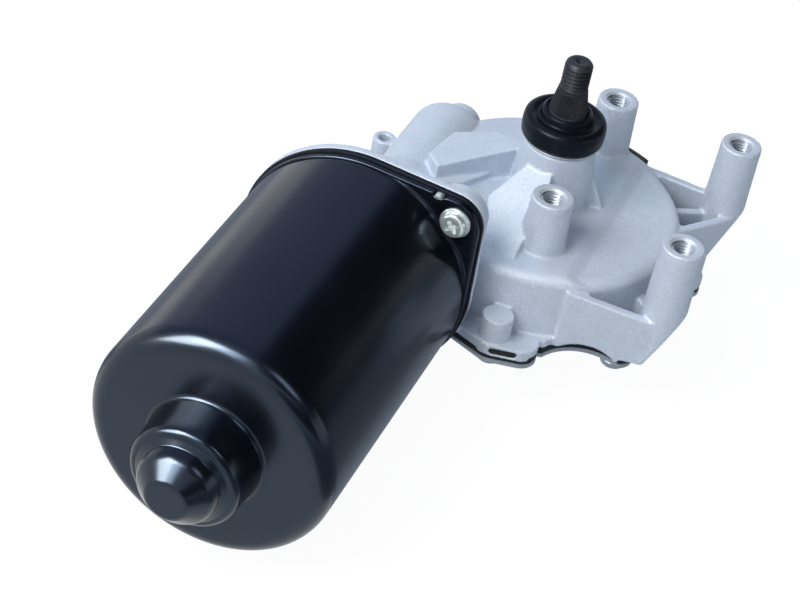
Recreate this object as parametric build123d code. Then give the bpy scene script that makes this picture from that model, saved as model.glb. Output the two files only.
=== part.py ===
from build123d import *

import math
import os

# Wiper motor: a two-pole brush motor drives a worm, and the worm turns a wheel on the output shaft.
# Millimetres. The origin is on the output shaft axis at the foot of its thread, +Z runs up the
# shaft, and the motor barrel lies towards -Y.

# ------------------------------------------------------------------ driving dimensions
# output shaft end
THREAD_R = 5.0
THREAD_LENGTH = 11.2
THREAD_TIP = 1.2
CONE_TOP_R = 5.25
CONE_FOOT_R = 7.0
CONE_LENGTH = 9.5
SHAFT_R = 6.0

# tapped mounting posts
POST_FACE_DEPTH = 25.5        # post faces below the thread foot
POST_R = 7.4
POST_FOOT_R = 8.4
POST_SPACING_X = 48.0
POST_SPACING_Y = 72.0
POST_CENTRE_X = 32.5
POST_CENTRE_Y = 7.1
TAP_R = 3.4
TAP_DEPTH = 17.0
TAP_MOUTH = 0.4

# gear case
PLATEAU_DROP = 22.0           # case top below the post faces
CASE_HEIGHT = 28.0            # case top to cover seat
WHEEL_RIM_GAP = 1.8           # wheel tips to the case wall
CASE_WALL = 5.0
CEILING = 3.5
CASE_EDGE_R = 4.0
TOP_STEP = 1.3                # raised part of the case top beside the neck
TOP_STEP_X = 22.0
TOP_STEP_RAMP = 4.0
SEAT_LIP = 3.0                # cover seat beyond the case wall
SEAT_THICKNESS = 4.5
TOWER_R = 13.4
TOWER_FOOT_R = 14.6
TOWER_RISE = 4.0              # tower face above the post faces
LUG_R = 6.5
LUGS = [(5.5, -55.0), (44.5, -32.5), (53.5, 20.0), (-2.0, 57.5), (-41.0, 44.0), (-66.5, 8.0)]
LUG_COLUMNS = [(5.6, 36.0), (5.6, 37.0), (5.6, 36.0), (5.6, 36.0), (5.6, 36.0), (4.3, 28.5)]   # radius, drop of the top
FRONT_LOBES = [(-6.0, -50.0, 7.2), (5.5, -55.0, 6.5), (14.8, -52.3, 6.6)]     # seat beside the front lug: x, y, radius
SCALLOP = (39.4, -54.2, 18.0)          # hollow in the seat rim: x, y, radius

# cover
GASKET_THICKNESS = 1.2
COVER_THICKNESS = 1.6
COVER_SCREW_R = 2.2
COVER_SCREW_HEAD_R = 4.6
COVER_SCREW_HEAD_HEIGHT = 2.6
COVER_SCREW_GRIP = 10.0

# worm gear
MODULE = 1.6
WHEEL_TEETH = 52
WORM_PITCH_R = 5.9
WHEEL_WIDTH = 10.0
WHEEL_RECESS = 3.0            # hollow in the wheel's underside, for the park disc
WHEEL_RECESS_R = 34.0
WHEEL_GAP_SHARE = 0.60        # tooth gap over pitch, at the pitch circle
WORM_THREAD_SHARE = 0.38      # thread over pitch, at the pitch cylinder
PRESSURE_ANGLE = 14.5
WORM_HALF_LENGTH = 21.0
WORM_RUN_GAP = 0.3            # between wheel tips and worm core, and the other way round

# motor
ARMATURE_DROP = 9.5           # armature axis below the case top
BARREL_R = 42.0
BARREL_WALL = 2.2
BARREL_CORNER_R = 5.0
YOKE_FLANGE_Y = -65.2
YOKE_FLANGE_THICKNESS = 2.5
YOKE_FLANGE_INSET = 0.8
CARD_THICKNESS = 2.0
CASE_FLANGE_THICKNESS = 3.2
FLANGE_R = 43.3
EAR_R = 11.3
EAR_X = 31.3
EAR_Z = 30.4
EAR_BOSS_LENGTH = 7.6
YOKE_SCREW_X = 33.5
YOKE_SCREW_Z = 33.4
BARREL_LENGTH = 110.5
CUP_R = 18.4
CUP_LENGTH = 15.5
DOME_R = 13.8
DOME_LENGTH = 11.0
DOME_FLAT_R = 6.5
YOKE_SCREW_R = 2.5
YOKE_SCREW_HEAD_R = 5.5
YOKE_SCREW_HEAD_HEIGHT = 3.4
SCOOP_R = 7.4                 # hollow pressed into the barrel beside each flange screw
SCOOP_LENGTH = 7.0
NOTCH_X = 25.5                # small notch in the flange edge, from the armature axis
NOTCH_WIDTH = 3.0
NOTCH_DEPTH = 2.2
NECK_R = 39.0
NECK_CLEARANCE = 0.5          # cover and gasket edge from the neck
TUNNEL_R = 15.0
TUNNEL_END_Y = 30.0
TUNNEL_BORE_R = 8.7
NIPPLE_R = 7.6
NIPPLE_END_Y = 41.0

# armature
ARM_SHAFT_R = 4.5
FRONT_JOURNAL_R = 3.5
RUN_CLEARANCE = 0.03          # shafts in their bushes, per side
AIR_GAP = 0.8
MAGNET_THICKNESS = 8.0
MAGNET_SPAN = 132.0
MAGNET_OVERHANG = 5.0         # magnet beyond the core at each end
WINDING_LENGTH = 11.0
WINDING_TIP_R = 22.0
WINDING_REAR_GAP = 8.3        # end turns to the closed end of the barrel
CLIP_THICKNESS = 1.2
CLIP_GAP = 0.3                # clip corners to the barrel wall
CORE_SLOTS = 12
COMMUTATOR_R = 12.0
COMMUTATOR_LENGTH = 17.0
BEARING_R = 11.0
BEARING_WIDTH = 7.0
BEARING_INNER_R = 5.8
BEARING_OUTER_R = 9.2
BALL_COUNT = 8

# output bushes and rings
BUSH_R = 8.5
BUSH_LENGTH = 12.0
WASHER_R = 13.9
WASHER_THICKNESS = 0.8
WASHER_GAP = 0.3
CIRCLIP_THICKNESS = 1.2
CIRCLIP_R = 8.6
CIRCLIP_GROOVE_R = 5.2
CAP_R = 15.0
CAP_HEIGHT = 8.2
CAP_NECK_R = 9.0
CAP_CAVITY_R = 11.0

# plug
PLUG_ANGLE = 73.0
PLUG_WIDTH = 20.0
PLUG_BACK_THICKNESS = 2.5
PLUG_TOP_DROP = 23.0
PLUG_SHROUD_WIDTH = 17.2
PLUG_SHROUD_HEIGHT = 11.0
PLUG_SHROUD_X = 13.0
PLUG_REACH = 10.0             # shroud mouth beyond the case wall
PLUG_SHROUD_WALL = 1.8
PLUG_FLOOR_REACH = 1.5        # shroud floor beyond the case wall
PLUG_SCREW_SPREAD = 6.6
PLUG_SCREW_R = 2.5
PIN_COUNT = 5
PIN_PITCH = 3.0

# small inner pieces
REAR_BUSH_R = 8.0
REAR_BUSH_LENGTH = 11.0
THRUST_PAD_THICKNESS = 1.6
THRUST_BALL_R = 2.5
THRUST_GAP = 0.05
END_BUSH_R = 5.6
END_BUSH_END_Y = 35.0
SHAFT_FRONT_Y = 35.5
END_SCREW_Y = 36.0
WHEEL_HUB_R = 12.0
CAP_CAVITY_HEIGHT = 3.0
PLATE_R = 33.0
PLATE_THICKNESS = 3.0
COVER_RECESS = 1.4            # depth of the disc pressed into the cover
PARK_DISC_INNER_R = 16.0
PARK_DISC_R = 28.0
PARK_DISC_THICKNESS = 0.8
PARK_NOTCH = 9.0
FINGER_WIDTH = 3.0
FINGER_LENGTH = 14.0
FINGER_THICKNESS = 0.6
FINGERS = [(200, 18.0), (225, 22.0), (250, 26.0)]
PIN_LENGTH = 4.5
BRUSH_ANGLES = (90, 270, 325)
BRUSH_THICKNESS = 6.0
BRUSH_WIDTH = 9.0
BRUSH_GAP = 0.1
BRUSH_END_R = 24.0
BOX_WALL = 0.8
BOX_START_R = 15.0
BOX_LENGTH = 17.0
SPRING_TURNS = 5
SPRING_R = 2.2
SPRING_WIRE_R = 0.4
CHOKE_ANGLES = (20, 160)
CHOKE_R = 3.2
CHOKE_LENGTH = 14.0
CHOKE_PITCH_R = 27.0

# ------------------------------------------------------------------ derived places
POST_FACE_Z = -POST_FACE_DEPTH
PLATEAU_Z = POST_FACE_Z - PLATEAU_DROP
SEAT_Z = PLATEAU_Z - CASE_HEIGHT
CEILING_Z = PLATEAU_Z - CEILING
TOWER_TOP_Z = POST_FACE_Z + TOWER_RISE
CONE_FOOT_Z = -CONE_LENGTH
GASKET_Z = SEAT_Z - GASKET_THICKNESS
COVER_Z = GASKET_Z - COVER_THICKNESS

PITCH = math.pi * MODULE
WORM_PHASE = -360 * WORM_HALF_LENGTH / PITCH        # brings a thread in front of the wheel
WHEEL_PITCH_R = MODULE * WHEEL_TEETH / 2
WHEEL_TIP_R = WHEEL_PITCH_R + MODULE
WORM_TIP_R = WORM_PITCH_R + MODULE
CAVITY_R = WHEEL_TIP_R + WHEEL_RIM_GAP
CASE_R = CAVITY_R + CASE_WALL
SEAT_R = CASE_R + SEAT_LIP
WHEEL_ROOT_R = WHEEL_PITCH_R - MODULE - WORM_RUN_GAP
WORM_ROOT_R = WORM_PITCH_R - MODULE - WORM_RUN_GAP
LEAD_ANGLE = math.degrees(math.atan(PITCH / (2 * math.pi * WORM_PITCH_R)))

ARM_X = -(WHEEL_PITCH_R + WORM_PITCH_R)
ARM_Z = PLATEAU_Z - ARMATURE_DROP
WHEEL_TOP_Z = ARM_Z + WHEEL_WIDTH / 2
WHEEL_LOW_Z = ARM_Z - WHEEL_WIDTH / 2

CARD_Y = YOKE_FLANGE_Y + YOKE_FLANGE_THICKNESS
CASE_FLANGE_Y = CARD_Y + CARD_THICKNESS
NECK_Y = CASE_FLANGE_Y + CASE_FLANGE_THICKNESS
BARREL_END_Y = YOKE_FLANGE_Y - BARREL_LENGTH
CUP_END_Y = BARREL_END_Y - CUP_LENGTH
DOME_END_Y = CUP_END_Y - DOME_LENGTH
BARREL_INNER_R = BARREL_R - BARREL_WALL
CUP_INNER_R = CUP_R - BARREL_WALL
DOME_INNER_R = DOME_R - BARREL_WALL
MAGNET_INNER_R = BARREL_INNER_R - MAGNET_THICKNESS
CORE_R = MAGNET_INNER_R - AIR_GAP
COMMUTATOR_Y = CARD_Y - 1.5
COMMUTATOR_END_Y = COMMUTATOR_Y - COMMUTATOR_LENGTH
CORE_Y = COMMUTATOR_END_Y - 2.0 - WINDING_LENGTH
CORE_END_Y = BARREL_END_Y + BARREL_WALL + WINDING_REAR_GAP + WINDING_LENGTH
CORE_LENGTH = CORE_Y - CORE_END_Y
MAGNET_Y = CORE_Y + MAGNET_OVERHANG
MAGNET_END_Y = CORE_END_Y - MAGNET_OVERHANG
BEARING_Y = CASE_FLANGE_Y + 16.0
BEARING_END_Y = BEARING_Y + BEARING_WIDTH

REAR_BUSH_Y = CUP_END_Y + BARREL_WALL
SHAFT_REAR_Y = DOME_END_Y + BARREL_WALL + THRUST_PAD_THICKNESS + THRUST_GAP + 2 * THRUST_BALL_R
PLUG_END_Y = CASE_R + PLUG_REACH
PLUG_FLOOR_Y = CASE_R + PLUG_FLOOR_REACH
OUTPUT_LOW_Z = COVER_Z + COVER_THICKNESS + 1.0

POSTS = [
    (POST_CENTRE_X + sx * POST_SPACING_X / 2, POST_CENTRE_Y + sy * POST_SPACING_Y / 2)
    for sx in (-1, 1)
    for sy in (-1, 1)
]
EARS = [(EAR_X, EAR_Z), (-EAR_X, -EAR_Z)]
YOKE_SCREWS = [(YOKE_SCREW_X, YOKE_SCREW_Z), (-YOKE_SCREW_X, -YOKE_SCREW_Z)]
BASE = (Align.CENTER, Align.CENTER, Align.MIN)
ABOUT_ARMATURE = Pos(ARM_X, 0, ARM_Z) * Rot(X=-90)


# ------------------------------------------------------------------ shape helpers
def turned(*corners):
    """Solid of revolution about Z from (radius, height) or (radius, height, rounding) corners."""
    points = [(corner[0], 0, corner[1]) for corner in corners]
    roundings = [corner[2] if len(corner) > 2 else 0 for corner in corners]
    outline = FilletPolyline(*points, radius=roundings, close=True)
    return revolve(make_face(outline), Axis.Z)


def turned_on_armature(*corners):
    """Solid of revolution about the armature axis; a corner's height is its Y."""
    return ABOUT_ARMATURE * turned(*corners)


def upright(radius, low, high, x=0.0, y=0.0):
    """Cylinder along Z between two heights."""
    return Pos(x, y, low) * Cylinder(radius, high - low, align=BASE)


def ring(inner, outer, low, high):
    """Plain ring about Z."""
    return upright(outer, low, high) - upright(inner, low - 1, high + 1)


def along(radius, y_low, y_high, dx=0.0, dz=0.0):
    """Cylinder along Y, placed from the armature axis."""
    return ABOUT_ARMATURE * upright(radius, y_low, y_high, dx, -dz)


def ring_along(inner, outer, y_low, y_high):
    """Plain ring about the armature axis."""
    return ABOUT_ARMATURE * ring(inner, outer, y_low, y_high)


def plate(outline, low, thickness):
    """Flat sheet of an outline in XY, standing on a height."""
    return Pos(0, 0, low) * extrude(outline, thickness)


def sloped_block(plan, floor, a, b, c):
    """Upright prism over a plan polygon, cut off by the plane through three points."""
    a, b, c = Vector(*a), Vector(*b), Vector(*c)
    normal = (b - a).cross(c - a)
    if normal.Z < 0:
        normal = normal * -1
    column = plate(make_face(Polyline(*plan, close=True)), floor, -floor)
    return split(column, bisect_by=Plane(origin=a, z_dir=normal), keep=Keep.BOTTOM)


def rib(start, end, thickness, floor):
    """Upright rib in plan from start to end; its top edge runs between their heights."""
    a, b = Vector(*start), Vector(*end)
    side = Vector(b.Y - a.Y, a.X - b.X, 0).normalized() * (thickness / 2)
    plan = [(p.X, p.Y) for p in (a + side, b + side, b - side, a - side)]
    return sloped_block(plan, floor, a, b, a + side)


def drop(depth):
    """Height of a point that lies a depth below the post faces."""
    return POST_FACE_Z - depth


# ------------------------------------------------------------------ outlines shared by pieces
def flange_outline(inset=0.0):
    """Barrel flange with its two screw ears, drawn about the armature axis."""
    circles = Circle(FLANGE_R - inset).edges()
    for x, z in EARS:
        circles += (Pos(x, -z) * Circle(EAR_R - inset)).edges()
    return make_hull(circles)


def seat_outline(inset=0.0):
    """Cover seat: round case, the patch under the worm tunnel and a lug at each screw."""
    outline = Circle(SEAT_R - inset)
    outline += Pos(ARM_X, 2) * Rectangle(2 * (TUNNEL_R - inset), 44 - 2 * inset)
    for x, y in LUGS:
        reach = math.hypot(x, y)
        outline += Pos(x, y) * Circle(LUG_R - inset)
        spoke = Pos(reach - LUG_R, 0) * Rectangle(2 * LUG_R, 2 * (LUG_R - inset))
        outline += Rot(Z=math.degrees(math.atan2(y, x))) * spoke
    lobes = None
    for x, y, radius in FRONT_LOBES:
        edges = (Pos(x, y) * Circle(radius - inset)).edges()
        lobes = edges if lobes is None else lobes + edges
    outline += make_hull(lobes)
    x, y, radius = SCALLOP
    return outline - Pos(x, y) * Circle(radius + inset)


# ------------------------------------------------------------------ casting
def post_arms():
    """Two ribbed arms that carry the outer pair of posts."""
    rear_x, rear_y = POSTS[3]
    front_x, front_y = POSTS[2]
    arms = None
    for x, y, root_x, root_y in ((rear_x, rear_y, 33, 29), (front_x, front_y, 35, -26)):
        circles = (Pos(x, y) * Circle(POST_FOOT_R)).edges() + (Pos(root_x, root_y) * Circle(13)).edges()
        foot = plate(make_hull(circles), SEAT_Z, SEAT_THICKNESS)
        arms = foot if arms is None else arms + foot
    walls = [
        ((24, rear_y - 2.0, drop(22.5)), (rear_x - 4, rear_y - 1.0, drop(24)), 3.2),
        ((35, 20, drop(24.5)), (rear_x - 4, rear_y - 3.0, drop(30.5)), 3.2),
        ((44.0, 6.0, drop(22.5)), (rear_x + 5.2, rear_y - 3.5, drop(28.5)), 3.4),
        ((24.2, front_y - 14.3, drop(24.5)), (front_x - 0.9, front_y - 6.5, drop(30)), 3.4),
        ((36, -12, drop(31)), (front_x - 4, front_y + 3.5, drop(34)), 4.0),
        ((46, -8, drop(26)), (front_x + 4.5, front_y + 4.5, drop(30)), 3.2),
    ]
    for start, end, thickness in walls:
        arms += rib(start, end, thickness, SEAT_Z)
    for x, y in ((rear_x, rear_y), (front_x, front_y)):
        arms += Pos(x, y, SEAT_Z) * Cone(
            POST_FOOT_R, POST_R, POST_FACE_Z - SEAT_Z, align=BASE
        )
    shave = Pos(rear_x + POST_R + 1.0, POST_CENTRE_Y, drop(26)) * Rot(Y=23)
    return arms - shave * Box(30, 120, 80, align=(Align.MIN, Align.CENTER, Align.MAX))


def inner_posts():
    """The two posts that stand on the case top."""
    posts = None
    for x, y in POSTS[:2]:
        post = Pos(x, y, PLATEAU_Z - 1) * Cone(
            POST_FOOT_R, POST_R, POST_FACE_Z - PLATEAU_Z + 1, align=BASE
        )
        posts = post if posts is None else posts + post
    return posts


def top_webs():
    """Raised webs between tower, neck and case rim."""
    apron = sloped_block(
        [(-6, -10), (-15, -25), (-11.5, -35), (-8.5, -45), (3.5, -46), (4.5, -20), (3, -12)],
        PLATEAU_Z - 1, (0, -14, drop(3)), (-15, -25, drop(12)), (-3, -44.5, drop(22)),
    )
    shoulder = sloped_block(
        [(-36.5, -19.7), (-14.3, 2.8), (-12, 8), (-17, 10), (-26, 11.5), (-40, 4.5), (-43, -12.5)],
        PLATEAU_Z - 1, (-36.5, -19.7, drop(12)), (-14.3, 2.8, drop(8)), (-39.5, 4.1, drop(12.5)),
    )
    step = sloped_block(
        [(-38, -23), (-27, -15), (-12, 12), (-18, 16), (-38, -4)],
        PLATEAU_Z - 1, (-38, -23, drop(18)), (-12, 12, drop(17)), (-18, 16, drop(17)),
    )
    fin = rib((11.5, 2.6, drop(3.5)), (20.8, 4.4, drop(22)), 2.4, PLATEAU_Z - 1)
    return apron + shoulder + step + fin


def neck_body(grow=0.0):
    """Outside of the neck and worm tunnel, or the same form grown by a clearance."""
    return turned_on_armature(
        (0, CASE_FLANGE_Y), (NECK_R + grow, CASE_FLANGE_Y), (NECK_R + grow, NECK_Y + 0.5),
        (32 + grow, NECK_Y + 13, 6), (24 + grow, NECK_Y + 20.5, 8), (17 + grow, NECK_Y + 30.5, 12),
        (TUNNEL_R + grow, NECK_Y + 42.5), (TUNNEL_R + grow, TUNNEL_END_Y, 5), (NIPPLE_R, TUNNEL_END_Y),
        (NIPPLE_R, NIPPLE_END_Y, 1), (0, NIPPLE_END_Y),
    )


def case_drum():
    """Round case whose top is a step higher beside the neck, with a ramp down to the rest."""
    top = PLATEAU_Z + TOP_STEP
    drum = turned((0, SEAT_Z), (CASE_R, SEAT_Z), (CASE_R, PLATEAU_Z, CASE_EDGE_R), (0, PLATEAU_Z))
    raised = turned((0, SEAT_Z), (CASE_R, SEAT_Z), (CASE_R, top, CASE_EDGE_R), (0, top))
    ramp = Plane(origin=(TOP_STEP_X, 0, top), z_dir=(TOP_STEP, 0, TOP_STEP_RAMP))
    return drum + split(raised, bisect_by=ramp, keep=Keep.BOTTOM)


def ear_bosses():
    """Thick ears behind the barrel flange, which hold the flange screws."""
    bosses = None
    for x, z in EARS:
        boss = ABOUT_ARMATURE * Pos(x, -z, CASE_FLANGE_Y) * Cone(EAR_R - 0.4, EAR_R - 1.0, EAR_BOSS_LENGTH, align=BASE)
        bosses = boss if bosses is None else bosses + boss
    return bosses


def gear_case():
    """Cast case: drum, cover seat, worm tunnel, neck, barrel flange, tower, posts and arms."""
    body = case_drum()
    body += plate(seat_outline(), SEAT_Z, SEAT_THICKNESS)
    for (x, y), (radius, column_drop) in zip(LUGS, LUG_COLUMNS):
        body += upright(radius, SEAT_Z, drop(column_drop), x, y)
    body += turned(
        (0, PLATEAU_Z - 1), (TOWER_FOOT_R, PLATEAU_Z - 1), (TOWER_R, TOWER_TOP_Z, 0.8), (0, TOWER_TOP_Z)
    )
    body += neck_body()
    body += ABOUT_ARMATURE * plate(flange_outline(), CASE_FLANGE_Y, CASE_FLANGE_THICKNESS) + ear_bosses()
    body += inner_posts() + post_arms() + top_webs()

    body -= turned((0, SEAT_Z - 1), (CAVITY_R, SEAT_Z - 1), (CAVITY_R, CEILING_Z, 2), (0, CEILING_Z))
    body -= upright(BUSH_R, CEILING_Z - 1, TOWER_TOP_Z + 1)
    body -= turned_on_armature(
        (0, CASE_FLANGE_Y - 1), (NECK_R - 5, CASE_FLANGE_Y - 1), (NECK_R - 5, NECK_Y), (20, BEARING_Y - 6),
        (BEARING_R, BEARING_Y - 2), (BEARING_R, BEARING_END_Y), (TUNNEL_BORE_R, BEARING_END_Y),
        (TUNNEL_BORE_R, TUNNEL_END_Y - 4), (END_BUSH_R, TUNNEL_END_Y - 4), (END_BUSH_R, NIPPLE_END_Y + 1),
        (0, NIPPLE_END_Y + 1),
    )
    for x, y in POSTS:
        body -= upright(TAP_R, POST_FACE_Z - TAP_DEPTH, POST_FACE_Z + 1, x, y)
        body -= Pos(x, y, POST_FACE_Z - TAP_MOUTH) * Cone(
            TAP_R, TAP_R + 2 * TAP_MOUTH, 2 * TAP_MOUTH, align=BASE
        )
    for x, y in LUGS[:5]:
        body -= upright(COVER_SCREW_R, SEAT_Z - 1, COVER_Z + COVER_SCREW_GRIP, x, y)
    body -= upright(COVER_SCREW_R, SEAT_Z - 1, 0, *LUGS[5])
    for x, z in YOKE_SCREWS:
        body -= along(YOKE_SCREW_R, CASE_FLANGE_Y - 1, NECK_Y + 3, x, z)
    return body


# ------------------------------------------------------------------ cover
def cover_gasket():
    """Flat gasket between case and cover."""
    sheet = plate(seat_outline(0.4), GASKET_Z, GASKET_THICKNESS) - upright(CAVITY_R, GASKET_Z - 1, SEAT_Z + 1)
    for x, y in LUGS:
        sheet -= upright(COVER_SCREW_R, GASKET_Z - 1, SEAT_Z + 1, x, y)
    return sheet - neck_body(NECK_CLEARANCE)


def gear_cover():
    """Pressed cover plate with a raised stiffening disc."""
    rim = PLATE_R + 3
    sheet = plate(seat_outline(), COVER_Z, COVER_THICKNESS)
    sheet += turned(
        (0, COVER_Z - COVER_RECESS), (rim, COVER_Z - COVER_RECESS, 0.6), (rim + COVER_RECESS, COVER_Z),
        (rim + COVER_RECESS, COVER_Z + 0.5), (0, COVER_Z + 0.5)
    )
    sheet -= turned(
        (0, GASKET_Z - COVER_RECESS), (rim - 1.5, GASKET_Z - COVER_RECESS), (rim, GASKET_Z), (rim, GASKET_Z + 1),
        (0, GASKET_Z + 1),
    )
    for x, y in LUGS:
        sheet -= upright(COVER_SCREW_R, COVER_Z - 1, GASKET_Z + 1, x, y)
    return sheet - neck_body(NECK_CLEARANCE)


def cover_screws():
    """One pan-head screw for each lug."""
    screws = []
    for x, y in LUGS:
        head = turned(
            (0, COVER_Z - COVER_SCREW_HEAD_HEIGHT), (COVER_SCREW_HEAD_R, COVER_Z - COVER_SCREW_HEAD_HEIGHT, 1.4),
            (COVER_SCREW_HEAD_R, COVER_Z), (0, COVER_Z),
        )
        screws.append(Pos(x, y) * (head + upright(COVER_SCREW_R, COVER_Z - 1, COVER_Z + COVER_SCREW_GRIP)))
    return Compound(children=screws)


# ------------------------------------------------------------------ barrel
def screw_scoops(radius, extra):
    """Hollows beside the flange screws, with tapered ends."""
    scoops = []
    tail = YOKE_FLANGE_Y - SCOOP_LENGTH - extra
    for x, z in YOKE_SCREWS:
        scoop = turned((0, YOKE_FLANGE_Y), (radius, YOKE_FLANGE_Y), (radius, tail), (0, tail - 0.8 * radius))
        scoops.append(ABOUT_ARMATURE * Pos(x, -z) * scoop)
    return scoops


def motor_yoke():
    """Deep-drawn barrel with flange, stepped bearing cup and closed dome."""
    outside = turned_on_armature(
        (0, DOME_END_Y), (DOME_FLAT_R, DOME_END_Y, 3), (DOME_R - 1.6, CUP_END_Y - 4.5, 7), (DOME_R, CUP_END_Y, 1.2),
        (CUP_R - 0.6, CUP_END_Y, 1.8), (CUP_R, BARREL_END_Y, 2.2), (BARREL_R, BARREL_END_Y, BARREL_CORNER_R),
        (BARREL_R, YOKE_FLANGE_Y + 1), (0, YOKE_FLANGE_Y + 1),
    )
    inside = turned_on_armature(
        (0, DOME_END_Y + BARREL_WALL), (DOME_FLAT_R, DOME_END_Y + BARREL_WALL, 2),
        (DOME_INNER_R - 1.0, CUP_END_Y - 2), (DOME_INNER_R, CUP_END_Y + BARREL_WALL),
        (CUP_INNER_R, CUP_END_Y + BARREL_WALL), (CUP_INNER_R, BARREL_END_Y + BARREL_WALL),
        (BARREL_INNER_R, BARREL_END_Y + BARREL_WALL, BARREL_CORNER_R - BARREL_WALL),
        (BARREL_INNER_R, CARD_Y + 1), (0, CARD_Y + 1),
    )
    for hollow, wall in zip(screw_scoops(SCOOP_R, 0), screw_scoops(SCOOP_R + BARREL_WALL, BARREL_WALL)):
        outside -= hollow
        inside -= wall
    outside += ABOUT_ARMATURE * plate(flange_outline(YOKE_FLANGE_INSET), YOKE_FLANGE_Y, YOKE_FLANGE_THICKNESS)
    yoke = outside - inside
    yoke -= ABOUT_ARMATURE * Pos(NOTCH_X, -(EAR_Z + EAR_R + 2 - NOTCH_DEPTH), YOKE_FLANGE_Y - 1) * Box(
        NOTCH_WIDTH, 4, YOKE_FLANGE_THICKNESS + 2, align=(Align.CENTER, Align.MAX, Align.MIN)
    )
    for x, z in YOKE_SCREWS:
        yoke -= along(YOKE_SCREW_R, YOKE_FLANGE_Y - 1, CARD_Y + 1, x, z)
    return yoke


def yoke_screws():
    """Pan-head screws through the flange ears."""
    screws = []
    for x, z in YOKE_SCREWS:
        low = YOKE_FLANGE_Y - YOKE_SCREW_HEAD_HEIGHT
        head = turned((0, low), (YOKE_SCREW_HEAD_R, low, 1.6), (YOKE_SCREW_HEAD_R, YOKE_FLANGE_Y), (0, YOKE_FLANGE_Y))
        shank = upright(YOKE_SCREW_R, YOKE_FLANGE_Y - 1, NECK_Y + 3)
        screws.append(ABOUT_ARMATURE * Pos(x, -z) * (head + shank))
    return Compound(children=screws)


def field_magnets():
    """Two arc magnets inside the barrel."""
    tube = ring(MAGNET_INNER_R, BARREL_INNER_R, MAGNET_END_Y, MAGNET_Y)
    gap = 180 - MAGNET_SPAN
    reach = 1.5 * BARREL_R
    side = reach * math.tan(math.radians(gap / 2))
    wedge = Polyline((0, 0), (reach, side), (reach, -side), close=True)
    for turn in (0, 180):
        tube -= Rot(Z=turn) * plate(make_face(wedge), MAGNET_END_Y - 1, MAGNET_Y - MAGNET_END_Y + 2)
    return ABOUT_ARMATURE * tube


def magnet_clips():
    """Two spring strips that push the magnets apart."""
    low, high = MAGNET_END_Y + 6, MAGNET_Y - 6
    half = math.radians((180 - MAGNET_SPAN) / 2)
    radius = MAGNET_INNER_R + MAGNET_THICKNESS / 2
    width = 2 * (radius * math.sin(half)) * 0.92
    outer = math.sqrt((BARREL_INNER_R - CLIP_GAP) ** 2 - (width / 2) ** 2)
    clips = []
    for side in (-1, 1):
        strip = Pos(side * (outer - CLIP_THICKNESS / 2), 0, low) * Box(CLIP_THICKNESS, width, high - low, align=BASE)
        clips.append(ABOUT_ARMATURE * strip)
    return Compound(children=clips)


def rear_bush():
    """Sintered bush at the closed end of the barrel."""
    return ring_along(ARM_SHAFT_R + RUN_CLEARANCE, REAR_BUSH_R, REAR_BUSH_Y, REAR_BUSH_Y + REAR_BUSH_LENGTH)


def rear_bush_carrier():
    """Pressed ring that seats the rear bush in the cup."""
    return ring_along(REAR_BUSH_R, CUP_INNER_R, REAR_BUSH_Y, REAR_BUSH_Y + REAR_BUSH_LENGTH)


def thrust_pad():
    """Hard disc at the bottom of the dome."""
    low = DOME_END_Y + BARREL_WALL
    return along(DOME_FLAT_R - 1.5, low, low + THRUST_PAD_THICKNESS)


# ------------------------------------------------------------------ brush gear
def brush_card():
    """Moulded card clamped between barrel and case; it carries the brush boxes."""
    card = ABOUT_ARMATURE * plate(flange_outline(), CARD_Y, CARD_THICKNESS)
    card -= along(COMMUTATOR_R + 2.5, CARD_Y - 1, CASE_FLANGE_Y + 1)
    for x, z in YOKE_SCREWS:
        card -= along(YOKE_SCREW_R, CARD_Y - 1, CASE_FLANGE_Y + 1, x, z)
    return card


def at_brush(angle, piece):
    """Turn a piece drawn at +X of the armature frame to a brush angle."""
    return ABOUT_ARMATURE * Rot(Z=angle) * piece


def brush_boxes():
    """Brass boxes on the card, one for each brush."""
    boxes = []
    depth = BRUSH_WIDTH + 2 * BOX_WALL
    for angle in BRUSH_ANGLES:
        middle = CARD_Y - depth / 2
        outer = Pos(BOX_START_R, 0, middle) * Box(
            BOX_LENGTH, BRUSH_THICKNESS + 2 * BOX_WALL, depth, align=(Align.MIN, Align.CENTER, Align.CENTER)
        )
        inner = Pos(BOX_START_R - 1, 0, middle) * Box(
            BOX_LENGTH + 1 - BOX_WALL, BRUSH_THICKNESS, BRUSH_WIDTH, align=(Align.MIN, Align.CENTER, Align.CENTER)
        )
        boxes.append(at_brush(angle, outer - inner))
    return Compound(children=boxes)


def carbon_brushes():
    """Carbon blocks that lie against the commutator."""
    brushes = []
    for angle in BRUSH_ANGLES:
        block = Pos(0, 0, CARD_Y - BOX_WALL - BRUSH_WIDTH / 2) * Box(
            BRUSH_END_R, BRUSH_THICKNESS, BRUSH_WIDTH, align=(Align.MIN, Align.CENTER, Align.CENTER)
        )
        block -= upright(COMMUTATOR_R + BRUSH_GAP, COMMUTATOR_END_Y - 5, CASE_FLANGE_Y)
        brushes.append(at_brush(angle, block))
    return Compound(children=brushes)


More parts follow.
